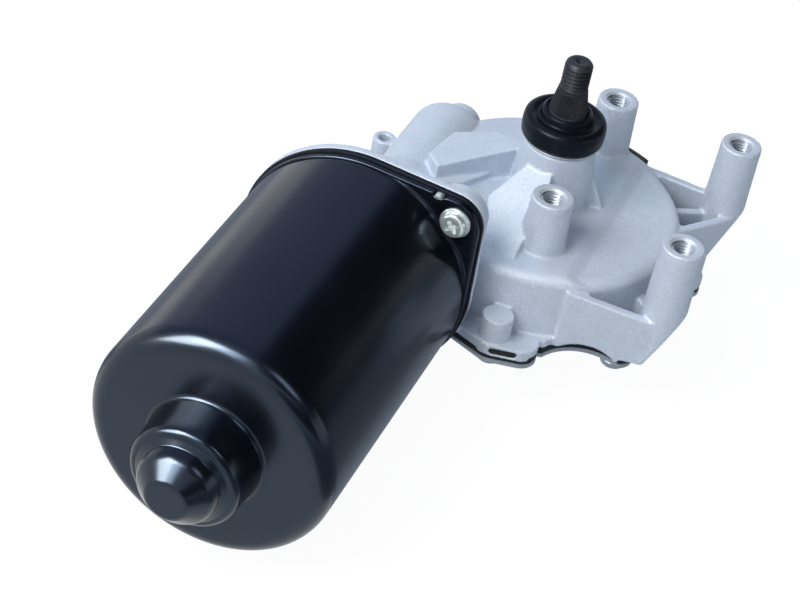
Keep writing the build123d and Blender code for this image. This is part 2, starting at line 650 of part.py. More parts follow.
def brush_springs():
    """Coil springs behind the brushes, drawn as stacked rings joined by their wire."""
    springs = []
    room = BOX_START_R + BOX_LENGTH - BOX_WALL - BRUSH_END_R
    for angle in BRUSH_ANGLES:
        coil = None
        for turn in range(SPRING_TURNS):
            x = BRUSH_END_R + SPRING_WIRE_R + turn * (room - 2 * SPRING_WIRE_R) / (SPRING_TURNS - 1)
            loop = Pos(x, 0, 0) * Rot(Y=90) * Torus(SPRING_R, SPRING_WIRE_R)
            coil = loop if coil is None else coil + loop
        wire = Pos(BRUSH_END_R + SPRING_WIRE_R, SPRING_R, 0) * Rot(Y=90) * Cylinder(
            SPRING_WIRE_R * 0.8, room - 2 * SPRING_WIRE_R, align=BASE
        )
        coil += wire
        springs.append(at_brush(angle, Pos(0, 0, CARD_Y - BOX_WALL - BRUSH_WIDTH / 2) * coil))
    return Compound(children=springs)


def chokes():
    """Two suppression chokes on the card."""
    parts = []
    for angle in CHOKE_ANGLES:
        core = upright(CHOKE_R, CARD_Y - CHOKE_LENGTH, CARD_Y, CHOKE_PITCH_R, 0)
        parts.append(at_brush(angle, core))
    return Compound(children=parts)


# ------------------------------------------------------------------ armature
def worm_thread():
    """Single-start right-hand thread, swept along the pitch helix."""
    half_pitch = WORM_THREAD_SHARE * PITCH / 2
    slope = math.tan(math.radians(PRESSURE_ANGLE))
    sink = WORM_PITCH_R - WORM_ROOT_R + 0.4
    section = [
        (WORM_PITCH_R - sink, half_pitch + sink * slope), (WORM_TIP_R, half_pitch - MODULE * slope),
        (WORM_TIP_R, -half_pitch + MODULE * slope), (WORM_PITCH_R - sink, -half_pitch - sink * slope),
    ]
    length = 2 * WORM_HALF_LENGTH
    path = Helix(PITCH, length, WORM_PITCH_R)
    start = Plane.XZ * make_face(Polyline(*section, close=True))
    thread = sweep(start, path=path, is_frenet=True)
    return Pos(0, 0, -WORM_HALF_LENGTH) * thread


def armature_shaft():
    """Armature shaft with its rolled worm."""
    shaft = upright(ARM_SHAFT_R, SHAFT_REAR_Y, -WORM_HALF_LENGTH - 3)
    shaft += upright(WORM_ROOT_R, -WORM_HALF_LENGTH - 3, WORM_HALF_LENGTH + 3)
    shaft += upright(FRONT_JOURNAL_R, WORM_HALF_LENGTH + 3, SHAFT_FRONT_Y)
    return ABOUT_ARMATURE * (shaft + Rot(Z=WORM_PHASE) * worm_thread())


def armature_core():
    """Lamination stack with skew-free winding slots."""
    stack = ring(ARM_SHAFT_R, CORE_R, CORE_END_Y, CORE_Y)
    slot = Pos(CORE_R - 12, 0) * SlotOverall(16, 6.5) + Pos(CORE_R - 2, 0) * Rectangle(6, 2.4)
    cutter = plate(slot, CORE_END_Y - 1, CORE_LENGTH + 2)
    for index in range(CORE_SLOTS):
        stack -= Rot(Z=index * 360 / CORE_SLOTS) * cutter
    return ABOUT_ARMATURE * stack


def armature_windings():
    """Copper end turns at both ends of the stack, waisted towards the shaft."""
    inner = 2 * ARM_SHAFT_R
    rear = turned(
        (inner, CORE_END_Y - WINDING_LENGTH, 2), (WINDING_TIP_R, CORE_END_Y - WINDING_LENGTH, 5),
        (CORE_R - 3, CORE_END_Y - 2, 1), (CORE_R - 3, CORE_END_Y), (inner, CORE_END_Y),
    )
    front = turned(
        (inner, CORE_Y), (CORE_R - 3, CORE_Y), (CORE_R - 3, CORE_Y + 2, 1), (WINDING_TIP_R, CORE_Y + WINDING_LENGTH, 5),
        (inner, CORE_Y + WINDING_LENGTH, 2),
    )
    return Compound(children=[ABOUT_ARMATURE * rear, ABOUT_ARMATURE * front])


def commutator_hub():
    """Resin hub under the commutator bars."""
    return ring_along(ARM_SHAFT_R, COMMUTATOR_R - 3, COMMUTATOR_END_Y, COMMUTATOR_Y)


def commutator_bars():
    """Copper bars with a riser at the winding end."""
    sleeve = turned(
        (COMMUTATOR_R - 3, COMMUTATOR_END_Y), (COMMUTATOR_R + 1.4, COMMUTATOR_END_Y),
        (COMMUTATOR_R + 1.4, COMMUTATOR_END_Y + 2.2), (COMMUTATOR_R, COMMUTATOR_END_Y + 2.2),
        (COMMUTATOR_R, COMMUTATOR_Y), (COMMUTATOR_R - 3, COMMUTATOR_Y),
    )
    saw = plate(Pos(COMMUTATOR_R, 0) * Rectangle(10, 0.7), COMMUTATOR_END_Y - 1, COMMUTATOR_LENGTH + 2)
    for index in range(CORE_SLOTS):
        sleeve -= Rot(Z=(index + 0.5) * 360 / CORE_SLOTS) * saw
    return ABOUT_ARMATURE * sleeve


def bearing_inner():
    """Inner ring of the ball bearing, on the shaft."""
    return ring_along(ARM_SHAFT_R, BEARING_INNER_R, BEARING_Y, BEARING_END_Y)


def bearing_outer():
    """Outer ring of the ball bearing, in the case."""
    return ring_along(BEARING_OUTER_R, BEARING_R, BEARING_Y, BEARING_END_Y)


def bearing_balls():
    """Balls that roll between the rings."""
    middle = (BEARING_INNER_R + BEARING_OUTER_R) / 2
    radius = (BEARING_OUTER_R - BEARING_INNER_R) / 2 - RUN_CLEARANCE
    balls = []
    for index in range(BALL_COUNT):
        place = Rot(Z=index * 360 / BALL_COUNT) * Pos(middle, 0, (BEARING_Y + BEARING_END_Y) / 2)
        balls.append(ABOUT_ARMATURE * place * Sphere(radius))
    return Compound(children=balls)


def bearing_clip():
    """Spring ring that holds the ball bearing in the case."""
    return ring_along(BEARING_OUTER_R, BEARING_R, BEARING_Y - 1.2, BEARING_Y)


def worm_end_bush():
    """Plain bush in the nipple beyond the worm."""
    return ring_along(FRONT_JOURNAL_R + RUN_CLEARANCE, END_BUSH_R, TUNNEL_END_Y - 4, END_BUSH_END_Y)


def endplay_screw():
    """Slotted plug in the nipple that sets the armature's end play."""
    plug = along(END_BUSH_R, END_SCREW_Y, NIPPLE_END_Y - 1)
    slot = ABOUT_ARMATURE * Pos(0, 0, NIPPLE_END_Y - 1) * Box(2 * END_BUSH_R, 1.4, 3)
    return plug - slot


def thrust_ball():
    """Ball between the rear shaft end and its pad."""
    return ABOUT_ARMATURE * Pos(0, 0, SHAFT_REAR_Y - THRUST_BALL_R) * Sphere(THRUST_BALL_R)


# ------------------------------------------------------------------ wheel and output
def wheel_tooth():
    """One straight-flanked tooth at +X, leaning with the lead angle of the worm."""
    half = (1 - WHEEL_GAP_SHARE) * PITCH / 2
    slope = math.tan(math.radians(PRESSURE_ANGLE + 3))
    sink = WHEEL_PITCH_R - WHEEL_ROOT_R + 0.6
    corners = [
        (WHEEL_PITCH_R - sink, -half - sink * slope), (WHEEL_TIP_R, -half + MODULE * slope),
        (WHEEL_TIP_R, half - MODULE * slope), (WHEEL_PITCH_R - sink, half + sink * slope),
    ]
    lean = math.degrees(math.tan(math.radians(LEAD_ANGLE)) * WHEEL_WIDTH / 2 / WHEEL_PITCH_R)
    section = make_face(Polyline(*corners, close=True))
    low = Pos(0, 0, WHEEL_LOW_Z) * Rot(Z=-lean) * section
    high = Pos(0, 0, WHEEL_TOP_Z) * Rot(Z=lean) * section
    return loft([low, high], ruled=True)


def worm_wheel():
    """Moulded wheel rim with teeth and a dished web."""
    blank = turned(
        (WHEEL_HUB_R, WHEEL_LOW_Z + WHEEL_RECESS), (WHEEL_RECESS_R, WHEEL_LOW_Z + WHEEL_RECESS),
        (WHEEL_RECESS_R, WHEEL_LOW_Z), (WHEEL_ROOT_R, WHEEL_LOW_Z),
        (WHEEL_ROOT_R, WHEEL_TOP_Z), (WHEEL_RECESS_R, WHEEL_TOP_Z),
        (WHEEL_RECESS_R, WHEEL_TOP_Z - 2.5), (WHEEL_HUB_R, WHEEL_TOP_Z - 2.5),
    )
    tooth = wheel_tooth()
    teeth = [Rot(Z=(index + 0.5) * 360 / WHEEL_TEETH) * tooth for index in range(WHEEL_TEETH)]
    return blank.fuse(*teeth)


def wheel_hub():
    """Steel hub riveted to the wheel and pressed on the shaft."""
    return ring(SHAFT_R, WHEEL_HUB_R, WHEEL_LOW_Z + 1, WHEEL_TOP_Z - 1)


def park_disc():
    """Contact ring on the wheel's underside with a parking gap."""
    high = WHEEL_LOW_Z + WHEEL_RECESS
    disc = ring(PARK_DISC_INNER_R, PARK_DISC_R, high - PARK_DISC_THICKNESS, high)
    notch = Pos(PARK_DISC_R, 0, high) * Box(PARK_NOTCH, PARK_NOTCH, 4 * PARK_DISC_THICKNESS)
    return disc - notch


def output_shaft():
    """Output shaft with circlip groove, serrated cone and thread."""
    low = OUTPUT_LOW_Z
    clip_low = TOWER_TOP_Z + WASHER_GAP + WASHER_THICKNESS
    return turned(
        (0, low), (SHAFT_R, low, 0.8), (SHAFT_R, clip_low), (CIRCLIP_GROOVE_R, clip_low),
        (CIRCLIP_GROOVE_R, clip_low + CIRCLIP_THICKNESS), (SHAFT_R, clip_low + CIRCLIP_THICKNESS),
        (SHAFT_R, CONE_FOOT_Z), (CONE_FOOT_R, CONE_FOOT_Z), (CONE_TOP_R, 0), (THREAD_R, 0),
        (THREAD_R, THREAD_LENGTH - THREAD_TIP), (THREAD_R - THREAD_TIP, THREAD_LENGTH), (0, THREAD_LENGTH),
    )


def upper_bush():
    """Bush at the top of the tower."""
    return ring(SHAFT_R + RUN_CLEARANCE, BUSH_R, TOWER_TOP_Z - 1 - BUSH_LENGTH, TOWER_TOP_Z - 1)


def lower_bush():
    """Bush at the case ceiling."""
    return ring(SHAFT_R + RUN_CLEARANCE, BUSH_R, CEILING_Z, CEILING_Z + BUSH_LENGTH)


def thrust_washer():
    """Washer between wheel hub and case ceiling, turning with the shaft."""
    return ring(SHAFT_R, WHEEL_HUB_R - 1, WHEEL_TOP_Z - 1, CEILING_Z - WASHER_GAP)


def tower_washer():
    """Bright washer over the tower face, turning with the shaft."""
    low = TOWER_TOP_Z + WASHER_GAP
    return ring(SHAFT_R, WASHER_R, low, low + WASHER_THICKNESS)


def shaft_circlip():
    """Open retaining ring in the shaft groove."""
    low = TOWER_TOP_Z + WASHER_GAP + WASHER_THICKNESS
    clip = ring(CIRCLIP_GROOVE_R, CIRCLIP_R, low, low + CIRCLIP_THICKNESS)
    return clip - Pos(CIRCLIP_R, 0, low) * Box(8, 5, 8)


def dust_cap():
    """Rubber cap on the shaft over the tower face."""
    low = TOWER_TOP_Z + WASHER_GAP + WASHER_THICKNESS
    return turned(
        (CAP_CAVITY_R, low), (CAP_R - 0.4, low, 0.6), (CAP_R, low + CAP_HEIGHT - 3, 1.5),
        (CAP_R - 2.5, low + CAP_HEIGHT, 1.5), (CAP_NECK_R, low + CAP_HEIGHT - 0.8, 0.6),
        (CAP_NECK_R, CONE_FOOT_Z, 0.8), (SHAFT_R, CONE_FOOT_Z), (SHAFT_R, low + CAP_CAVITY_HEIGHT),
        (CAP_CAVITY_R, low + CAP_CAVITY_HEIGHT, 1),
    )


# ------------------------------------------------------------------ park switch and plug
def contact_plate():
    """Moulded switch plate on the inside of the cover."""
    low = GASKET_Z - COVER_RECESS
    disc = upright(PLATE_R, low, low + PLATE_THICKNESS)
    disc -= upright(SHAFT_R + 3, low - 1, low + PLATE_THICKNESS + 1)
    return disc


def contact_fingers():
    """Spring fingers that wipe the park disc."""
    low = GASKET_Z - COVER_RECESS + PLATE_THICKNESS
    tip = WHEEL_LOW_Z + WHEEL_RECESS - PARK_DISC_THICKNESS - WASHER_GAP
    fingers = []
    for angle, radius in FINGERS:
        foot = Pos(radius, 0, low) * Box(FINGER_WIDTH, 6, 1, align=BASE)
        post = Pos(radius, 2.5, low) * Box(FINGER_WIDTH, 1, tip - low, align=BASE)
        blade = Pos(radius, 3 - FINGER_LENGTH / 2, tip - FINGER_THICKNESS) * Box(
            FINGER_WIDTH, FINGER_LENGTH, FINGER_THICKNESS, align=BASE
        )
        fingers.append(Rot(Z=angle) * (foot + post + blade))
    return Compound(children=fingers)


def at_plug(piece):
    """Turn a piece drawn outward along +X to the plug's place on the case wall."""
    return Rot(Z=PLUG_ANGLE) * piece


def plug_screw_places():
    """Height and side offsets of the two plug screws."""
    z = drop(PLUG_TOP_DROP) - 6.5
    return [(-PLUG_SCREW_SPREAD, z), (PLUG_SCREW_SPREAD, z)]


def plug_housing():
    """Plug shell: curved back plate against the case wall and an open shroud."""
    low = SEAT_Z + SEAT_THICKNESS + 0.5
    outer = CASE_R + PLUG_BACK_THICKNESS
    shell = ring(CASE_R, outer, low, drop(PLUG_TOP_DROP)) & (
        Pos(40, 0, low) * Box(20, PLUG_WIDTH, 40, align=(Align.MIN, Align.CENTER, Align.MIN))
    )
    for y, z in plug_screw_places():
        shell += Pos(CASE_R + 0.5, y, z) * Rot(Y=90) * Cylinder(
            PLUG_SCREW_R + 0.6, PLUG_BACK_THICKNESS, align=BASE
        )
    shell = at_plug(shell)
    middle = low + PLUG_SHROUD_HEIGHT / 2
    shroud = Pos(PLUG_SHROUD_X, PLUG_END_Y, middle) * Box(
        PLUG_SHROUD_WIDTH, PLUG_REACH + 5.5, PLUG_SHROUD_HEIGHT, align=(Align.CENTER, Align.MAX, Align.CENTER)
    )
    shell += shroud - upright(CASE_R, low - 1, drop(PLUG_TOP_DROP))
    shell -= Pos(PLUG_SHROUD_X, PLUG_FLOOR_Y, middle) * Box(
        PLUG_SHROUD_WIDTH - 2 * PLUG_SHROUD_WALL, 20, PLUG_SHROUD_HEIGHT - 2 * PLUG_SHROUD_WALL,
        align=(Align.CENTER, Align.MIN, Align.CENTER),
    )
    return shell - upright(POST_FOOT_R + 0.4, PLATEAU_Z - 2, 0, *POSTS[1])


def plug_pins():
    """Flat blades inside the shroud, standing on its floor."""
    middle = SEAT_Z + SEAT_THICKNESS + 0.5 + PLUG_SHROUD_HEIGHT / 2
    pins = []
    for index in range(PIN_COUNT):
        x = PLUG_SHROUD_X + (index - (PIN_COUNT - 1) / 2) * PIN_PITCH
        pins.append(Pos(x, PLUG_FLOOR_Y, middle) * Box(
            0.8, PIN_LENGTH, 2.8, align=(Align.CENTER, Align.MIN, Align.CENTER)
        ))
    return Compound(children=pins)


def plug_screws():
    """Two short screws that hold the plug to the case wall."""
    screws = []
    for y, z in plug_screw_places():
        head = Pos(CASE_R + 0.5 + PLUG_BACK_THICKNESS, y, z) * Rot(Y=90) * Cylinder(PLUG_SCREW_R, 1.6, align=BASE)
        screws.append(at_plug(head))
    return Compound(children=screws)


NODES = {
    "gear_case": gear_case,
    "cover_gasket": cover_gasket,
    "gear_cover": gear_cover,
    "cover_screws": cover_screws,
    "motor_yoke": motor_yoke,
    "yoke_screws": yoke_screws,
    "field_magnets": field_magnets,
    "magnet_clips": magnet_clips,
    "rear_bush": rear_bush,
    "rear_bush_carrier": rear_bush_carrier,
    "thrust_pad": thrust_pad,
    "brush_card": brush_card,
    "brush_boxes": brush_boxes,
    "carbon_brushes": carbon_brushes,
    "brush_springs": brush_springs,
    "chokes": chokes,
    "armature_shaft": armature_shaft,
    "armature_core": armature_core,
    "armature_windings": armature_windings,
    "commutator_hub": commutator_hub,
    "commutator_bars": commutator_bars,
    "bearing_inner": bearing_inner,
    "bearing_outer": bearing_outer,
    "bearing_balls": bearing_balls,
    "bearing_clip": bearing_clip,
    "worm_end_bush": worm_end_bush,
    "endplay_screw": endplay_screw,
    "thrust_ball": thrust_ball,
    "worm_wheel": worm_wheel,
    "wheel_hub": wheel_hub,
    "park_disc": park_disc,
    "output_shaft": output_shaft,
    "upper_bush": upper_bush,
    "lower_bush": lower_bush,
    "thrust_washer": thrust_washer,
    "tower_washer": tower_washer,
    "shaft_circlip": shaft_circlip,
    "dust_cap": dust_cap,
    "contact_plate": contact_plate,
    "contact_fingers": contact_fingers,
    "plug_housing": plug_housing,
    "plug_pins": plug_pins,
    "plug_screws": plug_screws,
}

os.makedirs("parts", exist_ok=True)
for name, build in NODES.items():
    export_step(build(), os.path.join("parts", name + ".step"))
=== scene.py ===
"""Looks of a wiper motor: a black drawn barrel bolted to a blasted casting with an output shaft.

Lengths are in millimetres in the classes and in metres in the meshes and the studio's panels and lamps.
"""

import logging
import math
from dataclasses import dataclass, field
from enum import Enum
from typing import Callable, Iterable, Sequence

import bmesh
import bpy
import numpy as np
from mathutils import Matrix, Vector

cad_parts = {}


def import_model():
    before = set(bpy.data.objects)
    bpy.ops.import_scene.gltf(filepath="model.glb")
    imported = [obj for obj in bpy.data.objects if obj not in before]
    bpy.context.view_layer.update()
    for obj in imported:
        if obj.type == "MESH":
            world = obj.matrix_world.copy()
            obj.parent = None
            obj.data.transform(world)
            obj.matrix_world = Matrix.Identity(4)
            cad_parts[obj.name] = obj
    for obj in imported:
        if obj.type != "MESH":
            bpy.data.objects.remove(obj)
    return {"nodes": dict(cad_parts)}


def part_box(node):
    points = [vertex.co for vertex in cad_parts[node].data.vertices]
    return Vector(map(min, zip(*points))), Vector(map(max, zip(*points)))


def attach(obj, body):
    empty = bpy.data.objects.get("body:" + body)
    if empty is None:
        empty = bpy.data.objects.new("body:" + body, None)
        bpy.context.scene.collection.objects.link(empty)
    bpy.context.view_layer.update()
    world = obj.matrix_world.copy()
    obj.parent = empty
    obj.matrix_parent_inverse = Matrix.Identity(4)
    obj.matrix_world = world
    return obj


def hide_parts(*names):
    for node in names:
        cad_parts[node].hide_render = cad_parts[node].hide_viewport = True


LOG = logging.getLogger("wiper_motor")
MM = 0.001
Point2 = tuple[float, float]
Point3 = tuple[float, float, float]
Colour = tuple[float, float, float]
WHITE: Colour = (1.0, 1.0, 1.0)
PLAIN_X = Vector((1, 0, 0))
ALONG_MOTOR = Vector((0, 1, 0))
UPWARD = Vector((0, 0, 1))


def lerp(start: float, end: float, share: float) -> float:
    """Value part way between two values."""
    return start + (end - start) * share


def smoothstep(value: float) -> float:
    """Ease a value between 0 and 1."""
    value = min(max(value, 0.0), 1.0)
    return value * value * (3 - 2 * value)


# ---------------------------------------------------------------------------- shader nodes
def add_node(tree: bpy.types.NodeTree, kind: str, inputs: dict[str, object] | None = None,
             **options: str) -> bpy.types.Node:
    """Add a shader node.

    Args:
        tree: node tree that gets it.
        kind: node type, without its ShaderNode prefix.
        inputs: values of its inputs by name.
        options: its other settings, which are set first.

    Returns:
        The node.
    """
    made = tree.nodes.new("ShaderNode" + kind)
    for key, value in options.items():
        setattr(made, key, value)
    for key, value in (inputs or {}).items():
        made.inputs[key].default_value = value
    return made


def wire(tree: bpy.types.NodeTree, *pairs: tuple[bpy.types.NodeSocket, bpy.types.NodeSocket]) -> None:
    """Link pairs of an output and an input."""
    for source, goal in pairs:
        tree.links.new(source, goal)


# ---------------------------------------------------------------------------- finishes
class Grain(Enum):
    """How a finish breaks up its surface, with the depth of its speckle."""

    BLASTED = 0.16
    TURNED = 0.08
    MOULDED = 0.10
    PAINTED = 0.04
    SMOOTH = 0.05


@dataclass(frozen=True)
class Finish:
    """One surface finish, built as a procedural material.

    Args:
        name: material name.
        colour: main linear colour.
        shade: second colour that the mottling drifts to.
        metallic: metallic share of the surface.
        roughness: mean roughness.
        spread: how far roughness wanders from its mean.
        grain: kind of surface break-up.
        grain_size: size of the fine grain in millimetres.
        relief: height of the fine grain in millimetres.
        specular: specular level of the dielectric part.
        sheen_tint: colour of that part's reflections.
        coat: clear coat weight.
        coat_roughness: roughness of that coat.
        mottle: how strongly the second colour shows.
        mottle_size: size of the mottling in millimetres.
    """

    name: str
    colour: Colour
    shade: Colour
    metallic: float = 0.0
    roughness: float = 0.5
    spread: float = 0.08
    grain: Grain = Grain.SMOOTH
    grain_size: float = 0.6
    relief: float = 0.02
    specular: float = 0.5
    sheen_tint: Colour = WHITE
    coat: float = 0.0
    coat_roughness: float = 0.1
    mottle: float = 0.5
    mottle_size: float = 14.0

    def material(self) -> bpy.types.Material:
        """Build the material, or return it where it exists already.

        Returns:
            The node-based material.
        """
        label = f"{self.name}_finish"
        known = bpy.data.materials.get(label)
        if known:
            return known
        made = bpy.data.materials.new(label)
        made.use_nodes = True
        made.diffuse_color = (*self.colour, 1.0)
        tree = made.node_tree
        shader = tree.nodes["Principled BSDF"].inputs
        shader["Metallic"].default_value = self.metallic
        shader["Specular IOR Level"].default_value = self.specular
        shader["Specular Tint"].default_value = (*self.sheen_tint, 1.0)
        shader["Coat Weight"].default_value = self.coat
        shader["Coat Roughness"].default_value = self.coat_roughness
        place = add_node(tree, "TexCoord").outputs["Object"]
        cloud = add_node(tree, "TexNoise", {
            "Scale": 1.0 / (self.mottle_size * MM), "Detail": 5.0, "Roughness": 0.6})
        blend = add_node(tree, "ValToRGB")
        mixed = tuple(lerp(a, b, self.mottle) for a, b in zip(self.colour, self.shade))
        for stop, position, colour in zip(blend.color_ramp.elements, (0.22, 0.78), (self.colour, mixed)):
            stop.position = position
            stop.color = (*colour, 1.0)
        fine = add_node(tree, "TexNoise", {
            "Scale": 1.0 / (self.grain_size * MM),
            "Detail": 4.0 if self.grain is Grain.BLASTED else 2.0, "Roughness": 0.62})
        tint = add_node(tree, "MapRange", {
            "From Min": 0.25, "From Max": 0.75,
            "To Min": 1.0 - self.grain.value, "To Max": 1.0 + self.grain.value})
        speckle = add_node(tree, "Mix", data_type="RGBA", blend_type="MULTIPLY")
        speckle.inputs["Factor"].default_value = 1.0
        rough = add_node(tree, "MapRange", {
            "From Min": 0.3, "From Max": 0.7,
            "To Min": max(self.roughness - self.spread, 0.03),
            "To Max": min(self.roughness + self.spread, 1.0)})
        bump = add_node(tree, "Bump", {"Strength": 1.0, "Distance": self.relief * MM})
        wire(tree,
             (place, cloud.inputs["Vector"]),
             (self._grain_place(tree, place), fine.inputs["Vector"]),
             (cloud.outputs["Fac"], blend.inputs["Fac"]),
             (fine.outputs["Fac"], tint.inputs["Value"]),
             (blend.outputs["Color"], speckle.inputs["A"]),
             (tint.outputs["Result"], speckle.inputs["B"]),
             (speckle.outputs["Result"], shader["Base Color"]),
             (cloud.outputs["Fac"], rough.inputs["Value"]),
             (rough.outputs["Result"], shader["Roughness"]),
             (fine.outputs["Fac"], bump.inputs["Height"]),
             (bump.outputs["Normal"], shader["Normal"]))
        return made

    def _grain_place(self, tree: bpy.types.NodeTree, place: bpy.types.NodeSocket) -> bpy.types.NodeSocket:
        """Coordinates of the fine grain, drawn out where a surface was turned."""
        if self.grain is not Grain.TURNED:
            return place
        scale = add_node(tree, "Mapping", {"Scale": (1.0, 1.0, 0.25)})
        wire(tree, (place, scale.inputs["Vector"]))
        return scale.outputs["Vector"]


CASTING = Finish("cast_aluminium", (0.545, 0.605, 0.685), (0.455, 0.515, 0.595), 0.38, 0.54, 0.06,
                 Grain.BLASTED, 0.55, 0.21, 0.45, mottle=0.7, mottle_size=8.0)
MACHINED = Finish("machined_aluminium", (0.58, 0.63, 0.69), (0.50, 0.56, 0.63), 0.50, 0.42, 0.06,
                  Grain.TURNED, 0.35, 0.012, mottle_size=4.0)
TAPPED = Finish("tapped_aluminium", (0.50, 0.56, 0.62), (0.40, 0.45, 0.51), 0.55, 0.36, 0.06,
                Grain.TURNED, 0.35, 0.012, mottle_size=3.0)
BARREL_PAINT = Finish("black_paint", (0.0022, 0.0024, 0.0044), (0.0030, 0.0034, 0.0060), 0.0, 0.23, 0.03,
                      Grain.PAINTED, 0.9, 0.006, 0.60, (0.52, 0.72, 1.0), mottle_size=22.0)
CARD_BLACK = Finish("black_card", (0.0035, 0.0040, 0.0058), (0.0060, 0.0068, 0.0090), 0.0, 0.46, 0.06,
                    Grain.MOULDED, 0.5, 0.015, 0.25, (0.6, 0.78, 1.0))
GASKET_BLACK = Finish("black_gasket", (0.010, 0.011, 0.013), (0.018, 0.020, 0.023), 0.0, 0.62, 0.08,
                      Grain.MOULDED, 0.4, 0.03, 0.35)
CAP_BLACK = Finish("black_cap", (0.0026, 0.0032, 0.0052), (0.0042, 0.0050, 0.0074), 0.0, 0.33, 0.05,
                   Grain.MOULDED, 0.45, 0.012, 0.26, (0.6, 0.78, 1.0), mottle_size=6.0)
PLUG_BLACK = Finish("black_plug", (0.010, 0.011, 0.013), (0.016, 0.018, 0.022), 0.0, 0.45, 0.06,
                    Grain.MOULDED, 0.4, 0.02, 0.45)
PHOSPHATE = Finish("black_phosphate", (0.016, 0.019, 0.024), (0.034, 0.039, 0.047), 0.35, 0.42, 0.09,
                   Grain.BLASTED, 0.30, 0.025, 0.5, mottle_size=3.0)
BRIGHT_ZINC = Finish("bright_screw", (0.80, 0.87, 0.88), (0.60, 0.69, 0.72), 0.78, 0.22, 0.06,
                     Grain.SMOOTH, 0.5, 0.02, mottle_size=2.2)
ZINC = Finish("zinc_plate", (0.52, 0.56, 0.60), (0.42, 0.47, 0.52), 0.80, 0.36, 0.08, Grain.SMOOTH, 0.8,
              0.01, mottle_size=9.0)
WASHER = Finish("bright_washer", (0.52, 0.55, 0.60), (0.44, 0.47, 0.52), 0.70, 0.42, 0.05, Grain.SMOOTH,
                0.4, 0.004)
SHEET_STEEL = Finish("pressed_steel", (0.40, 0.42, 0.45), (0.32, 0.34, 0.37), 0.85, 0.40, 0.08,
                     Grain.SMOOTH, 0.7, 0.01)
GROUND = Finish("ground_steel", (0.58, 0.60, 0.63), (0.48, 0.50, 0.53), 0.92, 0.25, 0.06, Grain.TURNED,
                0.3, 0.006)
BALL = Finish("bearing_steel", (0.66, 0.67, 0.70), (0.60, 0.61, 0.64), 1.0, 0.12, 0.03, Grain.SMOOTH, 0.4,
              0.002)
LAMINATE = Finish("lamination_steel", (0.16, 0.16, 0.17), (0.23, 0.22, 0.22), 0.6, 0.5, 0.1, Grain.TURNED,
                  0.5, 0.03)
BRONZE = Finish("sintered_bronze", (0.36, 0.22, 0.10), (0.27, 0.17, 0.09), 0.8, 0.5, 0.08, Grain.BLASTED,
                0.35, 0.02)
BRASS = Finish("pressed_brass", (0.62, 0.42, 0.16), (0.52, 0.35, 0.14), 0.9, 0.3, 0.08, Grain.SMOOTH, 0.6,
               0.008)
COPPER = Finish("copper_bar", (0.62, 0.27, 0.13), (0.50, 0.21, 0.10), 0.92, 0.28, 0.07, Grain.TURNED, 0.3,
                0.01)
ENAMEL = Finish("copper_wire", (0.42, 0.13, 0.045), (0.55, 0.20, 0.08), 0.5, 0.33, 0.08, Grain.TURNED,
                0.5, 0.12)
CARBON = Finish("carbon", (0.022, 0.022, 0.023), (0.035, 0.035, 0.036), 0.0, 0.6, 0.08, Grain.BLASTED,
                0.3, 0.02, 0.4)
FERRITE = Finish("ferrite", (0.035, 0.036, 0.040), (0.052, 0.053, 0.058), 0.0, 0.55, 0.08, Grain.BLASTED,
                 0.6, 0.02, 0.4)
RESIN = Finish("brown_resin", (0.060, 0.026, 0.012), (0.085, 0.038, 0.018), 0.0, 0.4, 0.06, Grain.MOULDED,
               0.5, 0.01)
ACETAL = Finish("white_acetal", (0.60, 0.59, 0.54), (0.54, 0.52, 0.46), 0.0, 0.42, 0.08, Grain.MOULDED,
                0.6, 0.01)
NYLON = Finish("grey_nylon", (0.17, 0.17, 0.18), (0.22, 0.22, 0.23), 0.0, 0.45, 0.06, Grain.MOULDED, 0.5,
               0.01)
TIN = Finish("tin_pin", (0.62, 0.62, 0.60), (0.54, 0.54, 0.52), 0.9, 0.3, 0.06, Grain.SMOOTH, 0.5, 0.005)


# ---------------------------------------------------------------------------- mesh tools
def circle(count: int) -> list[float]:
    """Angles in radians of even steps round a full turn."""
    return [math.tau * index / count for index in range(count)]


def select_only(pieces: Sequence[bpy.types.Object]) -> None:
    """Select the pieces alone, with the first one active."""
    bpy.ops.object.select_all(action="DESELECT")
    for piece in pieces:
        piece.select_set(True)
    bpy.context.view_layer.objects.active = pieces[0]


def rounded(corners: Sequence[Sequence[float]], steps: int = 6) -> list[Point2]:
    """Turn corners with roundings into a fine open outline.

    Args:
        corners: (radius, height) or (radius, height, rounding) corners.
        steps: parts of each rounding.

    Returns:
        Points of the outline.
    """
    outline: list[Point2] = []
    for index, corner in enumerate(corners):
        here = Vector(corner[:2])
        size = corner[2] if len(corner) > 2 else 0.0
        if size <= 0 or index in (0, len(corners) - 1):
            outline.append((here.x, here.y))
            continue
        back = (Vector(corners[index - 1][:2]) - here).normalized()
        ahead = (Vector(corners[index + 1][:2]) - here).normalized()
        half = back.angle(ahead) / 2
        reach = size / math.tan(half)
        centre = here + (back + ahead).normalized() * (size / math.sin(half))
        start, end = here + back * reach - centre, here + ahead * reach - centre
        turn = math.atan2(start.x * end.y - start.y * end.x, start.dot(end))
        for step in range(steps + 1):
            angle = turn * step / steps
            spun = Vector((start.x * math.cos(angle) - start.y * math.sin(angle),
                           start.x * math.sin(angle) + start.y * math.cos(angle)))
            outline.append((centre.x + spun.x, centre.y + spun.y))
    return outline


